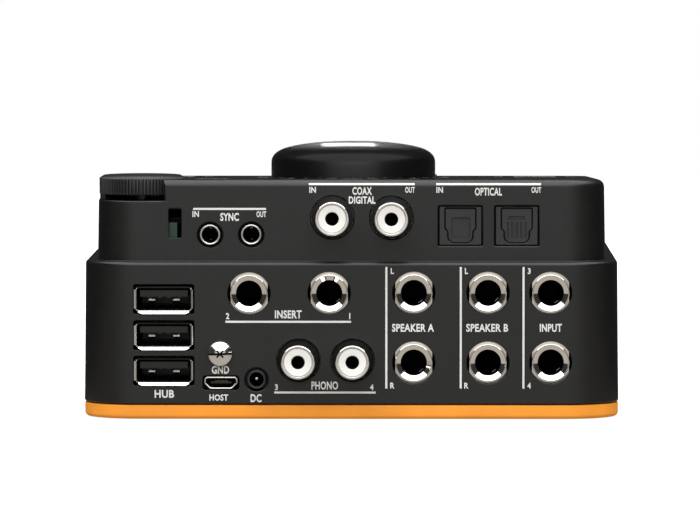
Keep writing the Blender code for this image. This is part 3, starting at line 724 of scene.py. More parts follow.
# ------------------------------------------------------------------ control panel
panel = bmesh.new()
outer = rounded(0, 0, PANEL_HALF, PANEL_HALF, 6.5, 12)
loft(panel, [[(x, y, top_z(y) + dz) for x, y in outer(off)] for dz, off in ((-0.8, -0.02), (-0.12, 0.0), (0.0, -0.12))])
panel = temporary(panel)
cuts = bmesh.new()
loft(cuts, [[(x, y, z) for x, y in corner_outline(12.8)] for z in (45.0, 66.0)])
apply_boolean(panel, temporary(cuts))
cuts = bmesh.new()
top_cut(cuts, circle(0, 0, WELL_R, 128), 4.0, 0.22)
for k, (x, y) in enumerate(DIALS.values()):
    top_cut(cuts, circle(x, y, 8.3, 64), 4.0, 0.2, above=2.0 + 0.7 * k)
for k, (x, y) in enumerate(BUTTONS.values()):
    top_cut(cuts, rounded(x, y, 4.5, 3.0, 0.5, 4), 4.0, 0.15, above=5.0 + 0.2 * k)
apply_boolean(panel, temporary(cuts))
trim(panel)
finish_piece(panel, "control_panel", [PANEL], "chassis", ["top_panel"], angle=28)

# ------------------------------------------------------------------ rubber base with its seam groove and screw pockets
base = bmesh.new()
rings = []
for k in range(0, 7):
    a = math.radians(90 - 15 * k)
    rings.append(level(63.0 - 0.9 + 0.9 * math.cos(a), 13.2 - 0.9 + 0.9 * math.cos(a), 0.9 - 0.9 * math.sin(a), 20, BASE_WIDE))
rings.append(level(63.0, 13.2, 3.05, 20, BASE_WIDE))
rings.append(level(62.92, 13.12, 3.22, 20, BASE_WIDE))
rings.append(level(62.72, 12.92, 3.3, 20, BASE_WIDE))
loft(base, rings)
base = temporary(base)
cuts = bmesh.new()
for sx in (-1, 1):
    for sy in (-1, 1):
        lathe(cuts, [(0, -2.0), (3.6, -2.0), (3.6, -0.1), (3.2, 0.3), (3.2, 6.0), (0, 6.0)], (sx * BOSS, sy * BOSS), n=40)
apply_boolean(base, temporary(cuts))
# tread ribs cut into the sole, clear of the screws
cuts = bmesh.new()
for k in range(-5, 6):
    x = k * 9.0
    part = bmesh.new()
    loft(part, [[(px, py, z) for px, py in rounded(x, 0, w, 44.0, w * 0.98, 5)()] for z, w in ((-1.0, 0.9), (0.0, 0.75), (0.5, 0.5))])
    merge(cuts, part)
apply_boolean(base, temporary(cuts))
finish_piece(base, "rubber_foot_plate", [RUBBER], "chassis", ["rubber_base"], angle=30)

# ------------------------------------------------------------------ base screws
index = 0
for sx in (-1, 1):
    for sy in (-1, 1):
        index += 1
        at = (sx * BOSS, sy * BOSS)
        made = bmesh.new()
        lathe(made, [(0, 1.6), (2.35, 1.6), (2.7, 1.75), (2.75, 2.0), (2.75, 3.25), (1.3, 3.3), (1.3, 12.6), (0.9, 13.0), (0, 13.0)], at, n=36)
        made = temporary(made)
        hexagon = bmesh.new()
        lathe(hexagon, [(0, 0.5), (1.75, 0.5), (1.75, 1.5), (1.28, 1.72), (1.28, 2.5), (0, 2.8)], at, n=6)
        apply_boolean(made, temporary(hexagon))
        finish_piece(made, "foot_screw_%d" % index, [SCREW], "chassis", ["base_screw_%d" % index], angle=30)

# ------------------------------------------------------------------ 6.35 mm sockets on the rear: plate, countersunk ferrules, contact springs
LIP = -63.3


def ferrule_profile():
    """Outer lip, polished countersink and bore, as (radius, y); the bore takes the second material, painted near-black
    as shade.
    """
    profile = [(4.42, -60.2), (4.42, -63.0), (4.36, -63.12), (4.26, -63.16), (4.16, -63.12), (4.1, -63.03)]
    profile += [(4.02, -62.98), (3.1, -62.45), (3.02, -62.32), (3.0, -62.1), (3.0, -57.2), (3.7, -57.2), (3.7, -60.2)]
    # faces 8 to 11 (the bore and its edge) take the near-black: painted shade inside the metal ferrule
    mats = [0, 0, 0, 0, 0, 0, 0, 0, 1, 1, 1, 1, 0]
    return profile, mats


def contact_spring(bm, x, z, angle, mat=0, y0=-57.0, y1=-50.0):
    """A bent leaf that reaches into the bore from its wall."""
    width = 0.55
    path = [(3.0, y0), (2.75, y0 + 0.8), (2.35, y0 + 2.0), (2.25, y0 + 2.6), (2.45, y0 + 3.4), (3.0, y1)]
    c, s = math.cos(angle), math.sin(angle)
    rings = []
    for r, y in path:
        corners = []
        for dr, dw in ((0, -width), (0, width), (0.14, width), (0.14, -width)):
            corners.append((x + (r + dr) * c - dw * s, y, z + (r + dr) * s + dw * c))
        rings.append(corners)
    loft(bm, rings, [mat] * 5)


def rear_jacks(name, sockets, ferrule_node, jack_node, spring_angles):
    plate_lo, plate_hi = extent(ferrule_node)
    made = bmesh.new()
    block(made, plate_lo[0], plate_hi[0], -59.9, -59.4, plate_lo[2], plate_hi[2])
    made = temporary(made)
    cuts = bmesh.new()
    for x, z in sockets:
        lathe(cuts, [(0, -70.0), (3.65, -70.0), (3.65, -50.0), (0, -50.0)], (x, z), "Y", 32)
    apply_boolean(made, temporary(cuts))
    profile, mats = ferrule_profile()
    rings = bmesh.new()
    for x, z in sockets:
        lathe(rings, profile, (x, z), "Y", 72, mats, closed=True)
    rings = temporary(rings)
    rings.data.materials.append(BRIGHT)
    rings.data.materials.append(BLACK_AND_PAINTED_SHADE)
    made.data.materials.append(BRIGHT)
    made.data.materials.append(BLACK_AND_PAINTED_SHADE)
    apply_boolean(made, rings, "UNION")
    finish_piece(made, name + "_bushing", [BRIGHT, BLACK_AND_PAINTED_SHADE], "chassis", [ferrule_node], angle=25)
    # moulded body behind the wall, bored for the plug, with its contact springs
    lo, hi = extent(jack_node)
    body = bmesh.new()
    block(body, lo[0], hi[0], lo[1], hi[1], lo[2], hi[2], 0.4)
    body = temporary(body)
    cuts = bmesh.new()
    for x, z in sockets:
        lathe(cuts, [(0, -64.0), (4.0, -64.0), (4.0, -56.5), (3.2, -56.2), (3.2, -33.0), (0, -32.4)], (x, z), "Y", 48)
    apply_boolean(body, temporary(cuts))
    finish_piece(body, name + "_body", [BLACK_AND_PAINTED_SHADE], "chassis", [jack_node], angle=30)
    springs = bmesh.new()
    for (x, z), angle in zip(sockets, spring_angles):
        contact_spring(springs, x, z, math.radians(angle), y0=-56.0, y1=-49.0)
        contact_spring(springs, x, z, math.radians(angle - 120), y0=-52.0, y1=-45.0)
    piece(springs, name + "_springs", [SATIN], "chassis", angle=30)


rear_jacks("insert_1", [INSERTS[0]], "insert_ferrule_1", "insert_jack_1", [180])
rear_jacks("insert_2", [INSERTS[1]], "insert_ferrule_2", "insert_jack_2", [70])
rear_jacks("speaker_a", SPEAKER_A, "speaker_a_ferrules", "speaker_a_jacks", [60, 65])
rear_jacks("speaker_b", SPEAKER_B, "speaker_b_ferrules", "speaker_b_jacks", [75, 60])
rear_jacks("line_input", LINE_IN, "line_input_ferrules", "line_input_jacks", [60, 70])


# ------------------------------------------------------------------ phono and coaxial sockets
def phono(name, node, at, wall, seat):
    """A plated sleeve with a rolled mouth, a white insulator ring and a split centre contact."""
    x, z = at
    front = wall - 8.6
    sleeve = bmesh.new()
    # the flange faces behind the wall take the near-black: a black flange whose colour also stands for the shade in the
    # gap round the sleeve
    lathe(sleeve, [(3.34, front + 0.25), (3.42, front + 0.06), (3.6, front), (3.82, front + 0.03), (3.95, front + 0.14), (4.0, front + 0.35),
                   (4.0, seat - 2.9), (4.1, seat - 2.55), (4.9, seat - 2.4), (4.9, seat - 1.2), (4.0, seat - 1.1), (4.0, seat), (3.34, seat)],
          at, "Y", 80, mats=[0, 0, 0, 0, 0, 0, 0, 1, 1, 1, 1, 0, 0], closed=True)
    piece(sleeve, name + "_sleeve", [NICKEL, BLACK_AND_PAINTED_SHADE], "chassis", [node], angle=30)
    core = bmesh.new()
    # the white insulator's bore takes the near-black: painted shade
    lathe(core, [(1.6, front + 0.5), (1.74, front + 0.36), (3.2, front + 0.2), (3.3, front + 0.3), (3.3, seat), (1.6, seat)], at, "Y", 72, mats=[0, 0, 0, 0, 0, 1], closed=True)
    piece(core, name + "_insulator", [WHITE, BLACK_AND_PAINTED_SHADE], "chassis", angle=30)
    contact = bmesh.new()
    # the contact's front edge, bore and floor take the near-black: painted shade in its hole
    lathe(contact, [(1.36, front + 3.4), (1.58, front + 3.2), (1.58, seat - 0.2), (0, seat - 0.2), (0, seat - 1.0), (1.36, seat - 1.0), (1.36, front + 3.4)], at, "Y", 40,
          mats=[1, 0, 0, 0, 1, 1])
    piece(contact, name + "_contact", [SATIN, BLACK_AND_PAINTED_SHADE], "chassis", angle=30)


for side, at in PHONO.items():
    phono("phono_" + side, "phono_shell_" + side, at, -63.0, -59.4)
for side, at in COAX.items():
    phono("coax_" + side, "coax_shell_" + side, at, -60.0, -57.6)

# ------------------------------------------------------------------ 3.5 mm sockets
for side, (x, z) in SYNC.items():
    lo, hi = extent("sync_jack_" + side)
    body = bmesh.new()
    block(body, lo[0], hi[0], -57.3, hi[1], lo[2], hi[2], 0.3)
    body = temporary(body)
    cuts = bmesh.new()
    lathe(cuts, [(0, -64.0), (1.85, -64.0), (1.85, -47.0), (0, -46.5)], (x, z), "Y", 40)
    apply_boolean(body, temporary(cuts))
    finish_piece(body, "sync_%s_body" % side, [BLACK_AND_PAINTED_SHADE], "chassis", ["sync_jack_" + side], angle=30)
    ring = bmesh.new()
    # the ring's inner bore takes the near-black: painted shade inside the metal
    lathe(ring, [(2.42, -57.4), (2.42, -59.95), (2.34, -60.08), (2.2, -60.12), (2.02, -60.06), (1.84, -59.8), (1.8, -59.6), (1.8, -57.4)],
          (x, z), "Y", 56, mats=[0, 0, 0, 0, 0, 1, 1, 0], closed=True)
    piece(ring, "sync_%s_ring" % side, [SATIN, BLACK_AND_PAINTED_SHADE], "chassis", angle=30)
    leaf = bmesh.new()
    block(leaf, x - 0.4, x + 0.4, -56.0, -50.0, z + 1.35, z + 1.5, 0.05)
    block(leaf, x - 0.3, x + 0.3, -53.0, -48.0, z - 1.5, z - 1.35, 0.05)
    piece(leaf, "sync_%s_contacts" % side, [SATIN], "chassis")

# ------------------------------------------------------------------ optical ports: a keyed frame, and a shutter hung at its top
HINGE = (-59.0, 49.2)


def keyed(x, grow, top=49.75, narrow=3.05, wide=3.72, step=44.9, low=41.35):
    """The port's mouth: square above, stepped in at its waist and round below."""
    w, n, r = wide + grow, narrow + grow, 1.75 + grow
    left = [(x - w, top + grow), (x - w, step - 0.4 * grow), (x - n, step - 0.85 - 0.4 * grow)]
    bowl = [(x - n + r - r * math.cos(math.radians(90 * k / 6)), low - grow + r - r * math.sin(math.radians(90 * k / 6))) for k in range(7)]
    half = left + bowl
    return half + [(2 * x - px, pz) for px, pz in reversed(half)]


for side, (x, z) in OPTICAL.items():
    lo, hi = extent("optical_port_" + side)
    frame_mesh = bmesh.new()
    outline = rounded(x, z, 5.0, 4.55, 0.3, 4)
    loft(frame_mesh, [[(px, y, pz) for px, pz in outline(off)] for y, off in ((-46.0, 0.0), (-59.55, 0.0), (-59.7, -0.15))])
    frame_mesh = temporary(frame_mesh)
    foot = bmesh.new()
    block(foot, x - 5.0, x + 5.0, -57.2, -46.0, 38.4, z, 0.3)
    apply_boolean(frame_mesh, temporary(foot), "UNION")
    mouth = bmesh.new()
    shape = polygon(keyed(x, 0.0), 0.35, 4)
    loft(mouth, [[(px, y, pz) for px, pz in shape(off)] for y, off in ((-62.0, 0.45), (-59.9, 0.32), (-59.5, 0.0), (-50.0, 0.0))])
    apply_boolean(frame_mesh, temporary(mouth))
    finish_piece(frame_mesh, "optical_%s_frame" % side, [PORT], "chassis", ["optical_port_" + side], angle=28)
    # the shutter
    flap = bmesh.new()
    shape = polygon(keyed(x, -0.16, top=49.7), 0.3, 4)
    loft(flap, [[(px, y, pz) for px, pz in shape(off)] for y, off in ((-58.55, 0.0), (-59.32, 0.0), (-59.45, -0.12))])
    flap = temporary(flap)
    cuts = bmesh.new()
    if side == "in":
        part = bmesh.new()
        shape = rounded(x + 0.1, 45.1, 2.15, 2.35, 0.35, 4)
        loft(part, [[(px, y, pz) for px, pz in shape(off)] for y, off in ((-60.0, 0.12), (-59.4, 0.06), (-58.85, 0.0))])
        merge(cuts, part)
    else:
        part = bmesh.new()
        shape = rounded(x - 0.05, 47.35, 1.9, 0.38, 0.3, 5)
        loft(part, [[(px, y, pz) for px, pz in shape(off)] for y, off in ((-60.0, 0.2), (-59.5, 0.08), (-59.0, -0.05))])
        merge(cuts, part)
        for k in range(5):
            gx = x - 2.1 + k * 1.05
            part = bmesh.new()
            shape = rounded(gx, 44.45, 0.2, 1.9, 0.18, 3)
            loft(part, [[(px, y, pz) for px, pz in shape(off)] for y, off in ((-60.0, 0.12), (-59.45, 0.04), (-59.25, -0.08))])
            merge(cuts, part)
    apply_boolean(flap, temporary(cuts))
    pin = bmesh.new()
    part = bmesh.new()
    lathe(part, [(0, -3.5), (0.42, -3.5), (0.42, 3.5), (0, 3.5)], (0, 0), n=20)
    bmesh.ops.rotate(part, cent=(0, 0, 0), matrix=Matrix.Rotation(math.pi / 2, 3, "Y"), verts=part.verts)
    bmesh.ops.translate(part, vec=(x, HINGE[0], HINGE[1]), verts=part.verts)
    merge(pin, part)
    apply_boolean(flap, temporary(pin), "UNION")
    finish_piece(flap, "optical_%s_flap" % side, [PORT], "optical_shutter_" + side, ["optical_shutter_" + side], angle=28)
    lens = bmesh.new()
    lathe(lens, [(0, -51.2), (0.6, -51.15), (1.0, -50.9), (1.25, -50.4), (1.25, -49.9), (0, -49.9)], (x, 45.6), "Y", 32)
    piece(lens, "optical_%s_window" % side, [BLACK], "chassis")

# ------------------------------------------------------------------ USB stack
for name, (x, z) in USB.items():
    tube = rounded(x, z, 6.3, 2.55, 0.4, 4)
    shield = bmesh.new()
    # the shield's inner walls take the near-black: painted shade inside the tin shell
    tube_loft(shield, [[(px, y, pz) for px, pz in tube(off)] for y, off in ((-45.0, 0.0), (-62.9, 0.0), (-63.0, 0.1), (-63.0, 0.25), (-62.9, 0.35), (-45.0, 0.35))], mats=[1, 1, 0, 0, 0, 0])
    shield = temporary(shield)
    shield.data.materials.append(SHIELD)
    shield.data.materials.append(BLACK_AND_PAINTED_SHADE)
    # flared tabs at the sides and below, each cut clear of its neighbours at the corners
    tabs = bmesh.new()
    for sx in (-1, 1):
        w = 0.62 if sx < 0 else 0.5
        rings = []
        for dy, out in ((0.0, 0.02), (-0.22, 0.1), (-0.42, 0.34), (-0.52, w), (-0.44, w + 0.1), (-0.3, w + 0.02), (-0.06, 0.34), (0.4, 0.3)):
            low = z - 2.45 + 0.25 * min(1.0, out / w)
            high = z + 2.3
            rings.append([(x + sx * (6.3 + out), -62.9 + dy, zz) for zz in (low, high)])
        a_side = [r[0] for r in rings]
        b_side = [r[1] for r in rings]
        loft(tabs, [a_side, b_side])
    rings = []
    for dy, out in ((0.0, 0.02), (-0.3, 0.16), (-0.56, 0.5), (-0.68, 0.92), (-0.6, 1.02), (-0.44, 0.94), (-0.1, 0.34), (0.4, 0.3)):
        inset = 0.15 + 1.0 * max(0.0, (out - 0.5)) / 0.5
        rings.append([(x + sx * (6.15 - inset), -62.9 + dy, z - 2.55 - min(out, 0.95)) for sx in (-1, 1)])
    loft(tabs, [[r[0] for r in rings], [r[1] for r in rings]])
    apply_boolean(shield, temporary(tabs), "UNION")
    # the top front lip is painted near-black: a painted dark reflection on the tin
    for face in shield.data.polygons:
        if face.center.z / MM > z + 2.5 and face.center.y / MM - OY / MM < -62.5 and abs(face.center.x / MM - x) < 6.3:
            face.material_index = 1
    finish_piece(shield, "usb_%s_shell" % name, [SHIELD, BLACK_AND_PAINTED_SHADE], "chassis", ["usb_shield_" + name], angle=40)
    springs = bmesh.new()
    for sx in (-2.85, 2.95):
        # leaf rising from the floor to a rolled tip
        path = [(-54.3, -2.5), (-57.5, -1.9), (-59.4, -0.75), (-59.9, -0.35), (-60.25, -0.12), (-60.55, -0.2), (-60.7, -0.45)]
        rings = []
        for y, h in path:
            rings.append([(x + sx + dx, y, z + h + dh) for dx, dh in ((-0.75, 0), (0.75, 0), (0.75, 0.16), (-0.75, 0.16))])
        loft(springs, rings)
    piece(springs, "usb_%s_springs" % name, [SATIN], "chassis", angle=30)
    contacts = bmesh.new()
    for k in range(4):
        cx = x + (-3.5, -1.0, 1.0, 3.5)[k]
        block(contacts, cx - 0.45, cx + 0.45, -59.6, -50.0, z + 0.24, z + 0.35, 0.03)
    piece(contacts, "usb_%s_contacts" % name, [GOLD], "chassis", angle=30)

insulator = bmesh.new()
ux = USB["1"][0]
block(insulator, ux - 5.85, ux + 5.85, -44.6, -42.0, 7.2, 31.4, 0.25)
insulator = temporary(insulator)
for name, (x, z) in USB.items():
    for y0, y1, z0, z1 in ((-61.0, -44.0, z + 0.35, z + 2.15), (-48.5, -44.0, z - 2.1, z + 1.0)):
        add = bmesh.new()
        block(add, x - 5.8, x + 5.8, y0, y1, z0, z1, 0.25)
        apply_boolean(insulator, temporary(add), "UNION")
finish_piece(insulator, "usb_tongues", [BLACK], "chassis", ["usb_insulator"], angle=30)

# ------------------------------------------------------------------ micro port
mx, mz = MICRO
lower = [(mx - 3.5, mz + 1.05), (mx - 3.55, mz + 0.05), (mx - 2.4, mz - 1.1), (mx + 2.4, mz - 1.1), (mx + 3.55, mz + 0.05), (mx + 3.5, mz + 1.05)]
shape = polygon(lower, 0.45, 5)
port = bmesh.new()
# the port's inner wall takes the near-black: painted shade
tube_loft(port, [[(px, y, pz) for px, pz in shape(off)] for y, off in
                 ((-57.6, 0.0), (-62.9, 0.0), (-63.05, 0.06), (-63.14, 0.2), (-63.1, 0.34), (-62.95, 0.4), (-57.6, 0.4))], mats=[1, 0, 0, 0, 0, 0, 0])
port = temporary(port)
port.data.materials.append(SATIN)
port.data.materials.append(BLACK_AND_PAINTED_SHADE)
# the back wall is lined near-black: painted shade at the bottom of the port
back = bmesh.new()
block(back, mx - 3.8, mx + 3.8, -58.0, -57.3, mz - 1.3, mz + 1.3, 0.1)
apply_boolean(port, lined(temporary(back), [SATIN, BLACK_AND_PAINTED_SHADE], 1), "UNION")
finish_piece(port, "micro_port_shell", [SATIN, BLACK_AND_PAINTED_SHADE], "chassis", ["micro_port"], angle=30)
tongue = bmesh.new()
block(tongue, mx - 2.5, mx + 2.5, -61.6, -58.1, mz - 0.35, mz + 0.25, 0.12)
piece(tongue, "micro_port_tongue", [BLACK], "chassis")
leaves = bmesh.new()
for k in range(5):
    cx = mx - 1.3 + 0.65 * k
    block(leaves, cx - 0.17, cx + 0.17, -61.3, -58.2, mz + 0.24, mz + 0.36, 0.03)
piece(leaves, "micro_port_contacts", [GOLD], "chassis")

# ------------------------------------------------------------------ power inlet
lo, hi = extent("dc_inlet")
inlet = bmesh.new()
block(inlet, lo[0], hi[0], -59.1, hi[1], lo[2], hi[2], 0.3)
inlet = temporary(inlet)
barrel = bmesh.new()
lathe(barrel, [(0, -58.5), (2.3, -58.5), (2.3, -62.5), (2.24, -62.7), (2.05, -62.86), (1.85, -62.8), (0, -62.8)], DC, "Y", 56)
apply_boolean(inlet, temporary(barrel), "UNION")
lined(inlet, [PORT, BLACK_AND_PAINTED_SHADE])
# the bore is lined near-black: painted shade inside the barrel
cuts = bmesh.new()
lathe(cuts, [(0, -66.0), (1.75, -66.0), (1.72, -62.7), (1.6, -62.4), (1.6, -51.0), (0, -51.0)], DC, "Y", 48)
apply_boolean(inlet, lined(temporary(cuts), [PORT, BLACK_AND_PAINTED_SHADE], 1))
finish_piece(inlet, "power_inlet_body", [PORT, BLACK_AND_PAINTED_SHADE], "chassis", ["dc_inlet"], angle=30)
pin = bmesh.new()
lathe(pin, [(0, -61.6), (0.3, -61.5), (0.5, -61.2), (0.56, -60.8), (0.56, -50.9), (0, -50.9)], (DC[0], DC[1] + 0.1), "Y", 32)
piece(pin, "power_inlet_pin", [SATIN], "chassis")

# ------------------------------------------------------------------ ground terminal
gx, gz = GROUND
terminal = bmesh.new()
profile = [(0.0, -65.72)]
for k in range(1, 11):
    r = 0.275 * k
    profile.append((r, -65.72 + 3.7 - math.sqrt(3.7 * 3.7 - r * r)))
profile += [(2.88, profile[-1][1] + 0.14), (2.95, profile[-1][1] + 0.32), (2.95, -63.6), (2.85, -63.42), (1.4, -63.4), (1.4, -54.2), (1.2, -54.0), (0, -54.0)]
lathe(terminal, profile, GROUND, "Y", 72)
terminal = lined(temporary(terminal), [NICKEL, BLACK_AND_PAINTED_SHADE])
cuts = bmesh.new()
# the slot and cross recesses are lined near-black: painted shade in the nickel head
for angle, length, width, deep in ((2, 3.3, 0.26, -64.15), (45, 1.15, 0.2, -64.3), (135, 1.15, 0.2, -64.3)):
    part = bmesh.new()
    bmesh.ops.create_cube(part, size=1.0)
    bmesh.ops.scale(part, vec=(length * 2, 4.0, width * 2), verts=part.verts)
    bmesh.ops.rotate(part, cent=(0, 0, 0), matrix=Matrix.Rotation(math.radians(-angle), 3, "Y"), verts=part.verts)
    bmesh.ops.translate(part, vec=(gx, deep - 2.0, gz), verts=part.verts)
    part = lined(temporary(part), [NICKEL, BLACK_AND_PAINTED_SHADE], 1)
    apply_boolean(terminal, part)
cuts.free()
finish_piece(terminal, "ground_terminal", [NICKEL, BLACK_AND_PAINTED_SHADE], "chassis", ["ground_screw"], angle=30)

# ------------------------------------------------------------------ user side: combination sockets and headphone sockets
for name, (x, z) in COMBOS.items():
    lo, hi = extent("combo_socket_" + name)
    body = bmesh.new()
    lathe(body, [(0, 40.0), (11.6, 40.0), (11.6, 62.3), (11.35, 62.7), (11.0, 62.88), (10.3, 62.9), (9.85, 62.75), (9.75, 62.4), (9.75, 50.0), (8.35, 50.0), (8.35, 61.6),
                 (8.1, 61.95), (7.6, 62.1), (4.6, 62.1), (4.0, 61.9), (3.35, 61.2), (3.27, 60.8), (3.27, 34.5), (0, 34.5)], (x, z), "Y", 96)
    body = temporary(body)
    back = bmesh.new()
    block(back, x - 11.0, x + 11.0, 32.0, 49.6, 7.3, 32.5, 0.5)
    back = temporary(back)
    bore = bmesh.new()
    lathe(bore, [(0, 34.5), (3.27, 34.5), (3.27, 60.0), (0, 60.0)], (x, z), "Y", 48)
    apply_boolean(back, temporary(bore))
    apply_boolean(body, back, "UNION")
    cuts = bmesh.new()
    for angle in (90, 210, 330):
        pin_at = (x + 5.9 * math.cos(math.radians(angle)), z + 5.9 * math.sin(math.radians(angle)))
        lathe(cuts, [(0, 50.0), (1.3, 50.0), (1.3, 61.8), (1.7, 62.3), (1.7, 66.0), (0, 66.0)], pin_at, "Y", 32)
    apply_boolean(body, temporary(cuts))
    finish_piece(body, "combo_%s_body" % name, [BLACK], "chassis", ["combo_socket_" + name], angle=30)
    contacts = bmesh.new()
    for angle in (90, 210, 330):
        pin_at = (x + 5.9 * math.cos(math.radians(angle)), z + 5.9 * math.sin(math.radians(angle)))
        lathe(contacts, [(1.02, 57.2), (1.25, 57.5), (1.25, 50.1), (0, 50.1), (0, 51.4), (1.02, 51.4)], pin_at, "Y", 28)
    piece(contacts, "combo_%s_contacts" % name, [GOLD], "chassis", angle=30)
    collar = bmesh.new()
    lathe(collar, [(3.3, 61.25), (3.4, 61.5), (3.62, 61.72), (3.95, 61.92), (4.35, 62.14), (4.45, 62.3), (4.25, 62.42), (3.8, 62.2), (3.3, 61.7), (3.12, 61.3), (3.08, 60.9), (3.3, 60.9)],
          (x, z), "Y", 64, closed=True)
    piece(collar, "combo_%s_collar" % name, [NICKEL], "chassis", angle=40)
    latch = bmesh.new()
    block(latch, x - 2.4, x + 2.4, 60.6, 63.35, z + 8.55, z + 9.55, 0.2, 3)
    piece(latch, "combo_%s_latch" % name, [SATIN], "chassis", angle=30)

for name, (x, z) in PHONES.items():
    lo, hi = extent("phones_jack_" + name)
    body = bmesh.new()
    block(body, lo[0], hi[0], lo[1], 60.0, lo[2], hi[2], 0.4)
    body = temporary(body)
    cuts = bmesh.new()
    lathe(cuts, [(0, 33.5), (3.25, 33.5), (3.25, 57.0), (4.0, 57.3), (4.0, 66.0), (0, 66.0)], (x, z), "Y", 48)
    apply_boolean(body, temporary(cuts))
    finish_piece(body, "phones_%s_body" % name, [BLACK_AND_PAINTED_SHADE], "chassis", ["phones_jack_" + name], angle=30)
    ring = bmesh.new()
    # the bushing's inner bore takes the near-black: painted shade inside the metal
    lathe(ring, [(4.45, 57.4), (4.45, 62.75), (4.36, 62.92), (4.2, 62.98), (4.02, 62.9), (3.86, 62.72), (3.12, 61.8), (3.08, 61.65), (3.08, 57.4)],
          (x, z), "Y", 72, mats=[0, 0, 0, 0, 0, 0, 0, 1, 0], closed=True)
    piece(ring, "phones_%s_bushing" % name, [BRIGHT, BLACK_AND_PAINTED_SHADE], "chassis", angle=25)

# ------------------------------------------------------------------ monitor knob
knob = bmesh.new()
CROWN = [(0.0, 0.02), (3.0, 0.0), (5.5, 0.06), (8.1, 0.21), (9.8, 0.38), (11.5, 0.58), (13.0, 0.80), (14.5, 1.08), (15.7, 1.35), (16.7, 1.62), (17.4, 1.88), (18.0, 2.16), (18.55, 2.48),
         (19.0, 2.82), (19.4, 3.22), (19.7, 3.62), (19.93, 4.1), (20.06, 4.6), (20.1, 5.2)]
FALL = [0.0] + [((CROWN[i][1] - CROWN[i - 1][1]) / (CROWN[i][0] - CROWN[i - 1][0]) + (CROWN[i + 1][1] - CROWN[i][1]) / (CROWN[i + 1][0] - CROWN[i][0])) / 2 for i in range(1, len(CROWN) - 1)] + [15.0]


def crown_z(r):
    """Height of the knob's domed top at a radius."""
    for i, ((r0, d0), (r1, d1)) in enumerate(zip(CROWN, CROWN[1:])):
        if r <= r1:
            h = r1 - r0
            t = (r - r0) / h
            return KNOB_TOP - ((2 * t ** 3 - 3 * t ** 2 + 1) * d0 + (t ** 3 - 2 * t ** 2 + t) * h * FALL[i] + (3 * t ** 2 - 2 * t ** 3) * d1 + (t ** 3 - t ** 2) * h * FALL[i + 1])
    return KNOB_TOP - CROWN[-1][1]


profile = [(0.0, KNOB_TOP - 0.02), (1.5, crown_z(1.5))]
profile += [(0.75 * k, crown_z(0.75 * k)) for k in range(4, 24)]
profile += [(r, KNOB_TOP - d) for r, d in CROWN[10:-1]]
profile += [(KNOB_R, 58.2), (KNOB_R, 54.35), (KNOB_R - 0.1, 54.0), (KNOB_R - 0.35, 53.9), (17.8, 53.9), (17.8, 59.0), (17.0, 59.3), (6.5, 59.6), (6.5, 54.2), (3.12, 54.2), (3.12, 60.9), (0.0, 60.9)]
lathe(knob, profile, (0, 0), n=192)
piece(knob, "monitor_knob_cap", [KNOB], "monitor_knob", ["main_knob"], angle=40)
mark = bmesh.new()
rings = []
for y in [13.6 + 0.5 * k for k in range(0, 10)]:
    z = crown_z(y)
    rings.append([(-0.35, y, z - 0.12), (-0.35, y, z + 0.015), (0.35, y, z + 0.015), (0.35, y, z - 0.12)])
loft(mark, rings)
piece(mark, "monitor_knob_mark", [INK], "monitor_knob", angle=40)

# ------------------------------------------------------------------ corner wheel with its straight knurl
wheel = bmesh.new()
TEETH = 78
cx, cy = WHEEL


def knurled(z, tip, root):
    points = []
    for k in range(TEETH):
        for part, radius in ((0.0, root), (0.2, root), (0.45, tip), (0.75, tip)):
            a = 2 * math.pi * (k + part) / TEETH
            points.append((cx + radius * math.cos(a), cy + radius * math.sin(a), z))
    return points


rings = [knurled(45.5, 1.95, 1.95), knurled(52.7, 1.95, 1.95), knurled(52.7, 9.95, 9.8), knurled(52.76, 10.12, 9.84), knurled(52.85, 10.2, 9.88), knurled(56.35, 10.2, 9.88),
         knurled(56.55, 10.1, 9.82), knurled(56.7, 9.9, 9.75), knurled(57.1, 9.25, 9.25), knurled(57.2, 9.0, 9.0), knurled(57.2, 6.0, 6.0), knurled(57.12, 5.8, 5.8), knurled(57.1, 0.6, 0.6)]
loft(wheel, rings)
piece(wheel, "thumb_wheel", [WHEEL_METAL], "corner_wheel", ["corner_wheel"], angle=34)

# ------------------------------------------------------------------ flush dials with a knurled rim and a pointer groove
for name, (x, y) in DIALS.items():
    z = top_z(y) - 0.3
    dial = bmesh.new()
    count = 60

    def toothed(zz, tip, root):
        return [(x + rr * math.cos(2 * math.pi * (k + part) / count), y + rr * math.sin(2 * math.pi * (k + part) / count), zz)
                for k in range(count) for part, rr in ((0.0, root), (0.5, tip))]
    loft(dial, [toothed(46.8, 1.5, 1.5), toothed(z - 2.8, 1.5, 1.5), toothed(z - 2.8, 7.6, 7.55), toothed(z - 2.7, 7.75, 7.6), toothed(z - 0.35, 7.78, 7.6), toothed(z - 0.12, 7.6, 7.5),
                toothed(z, 7.35, 7.35), toothed(z, 6.2, 6.2), toothed(z - 0.25, 5.4, 5.4), toothed(z - 0.5, 3.5, 3.5), toothed(z - 0.55, 0.4, 0.4)])
    dial = temporary(dial)
    groove = bmesh.new()
    block(groove, x - 0.35, x + 0.35, y - 7.2, y - 3.4, z - 0.62, z + 1.0, 0.0)
    apply_boolean(dial, temporary(groove))
    finish_piece(dial, name + "_knob", [DIAL_METAL], name + "_dial", [name + "_dial"], angle=32)
    filling = bmesh.new()
    block(filling, x - 0.3, x + 0.3, y - 7.1, y - 3.5, z - 0.72, z - 0.28, 0.05)
    piece(filling, name + "_pointer", [INK], name + "_dial")

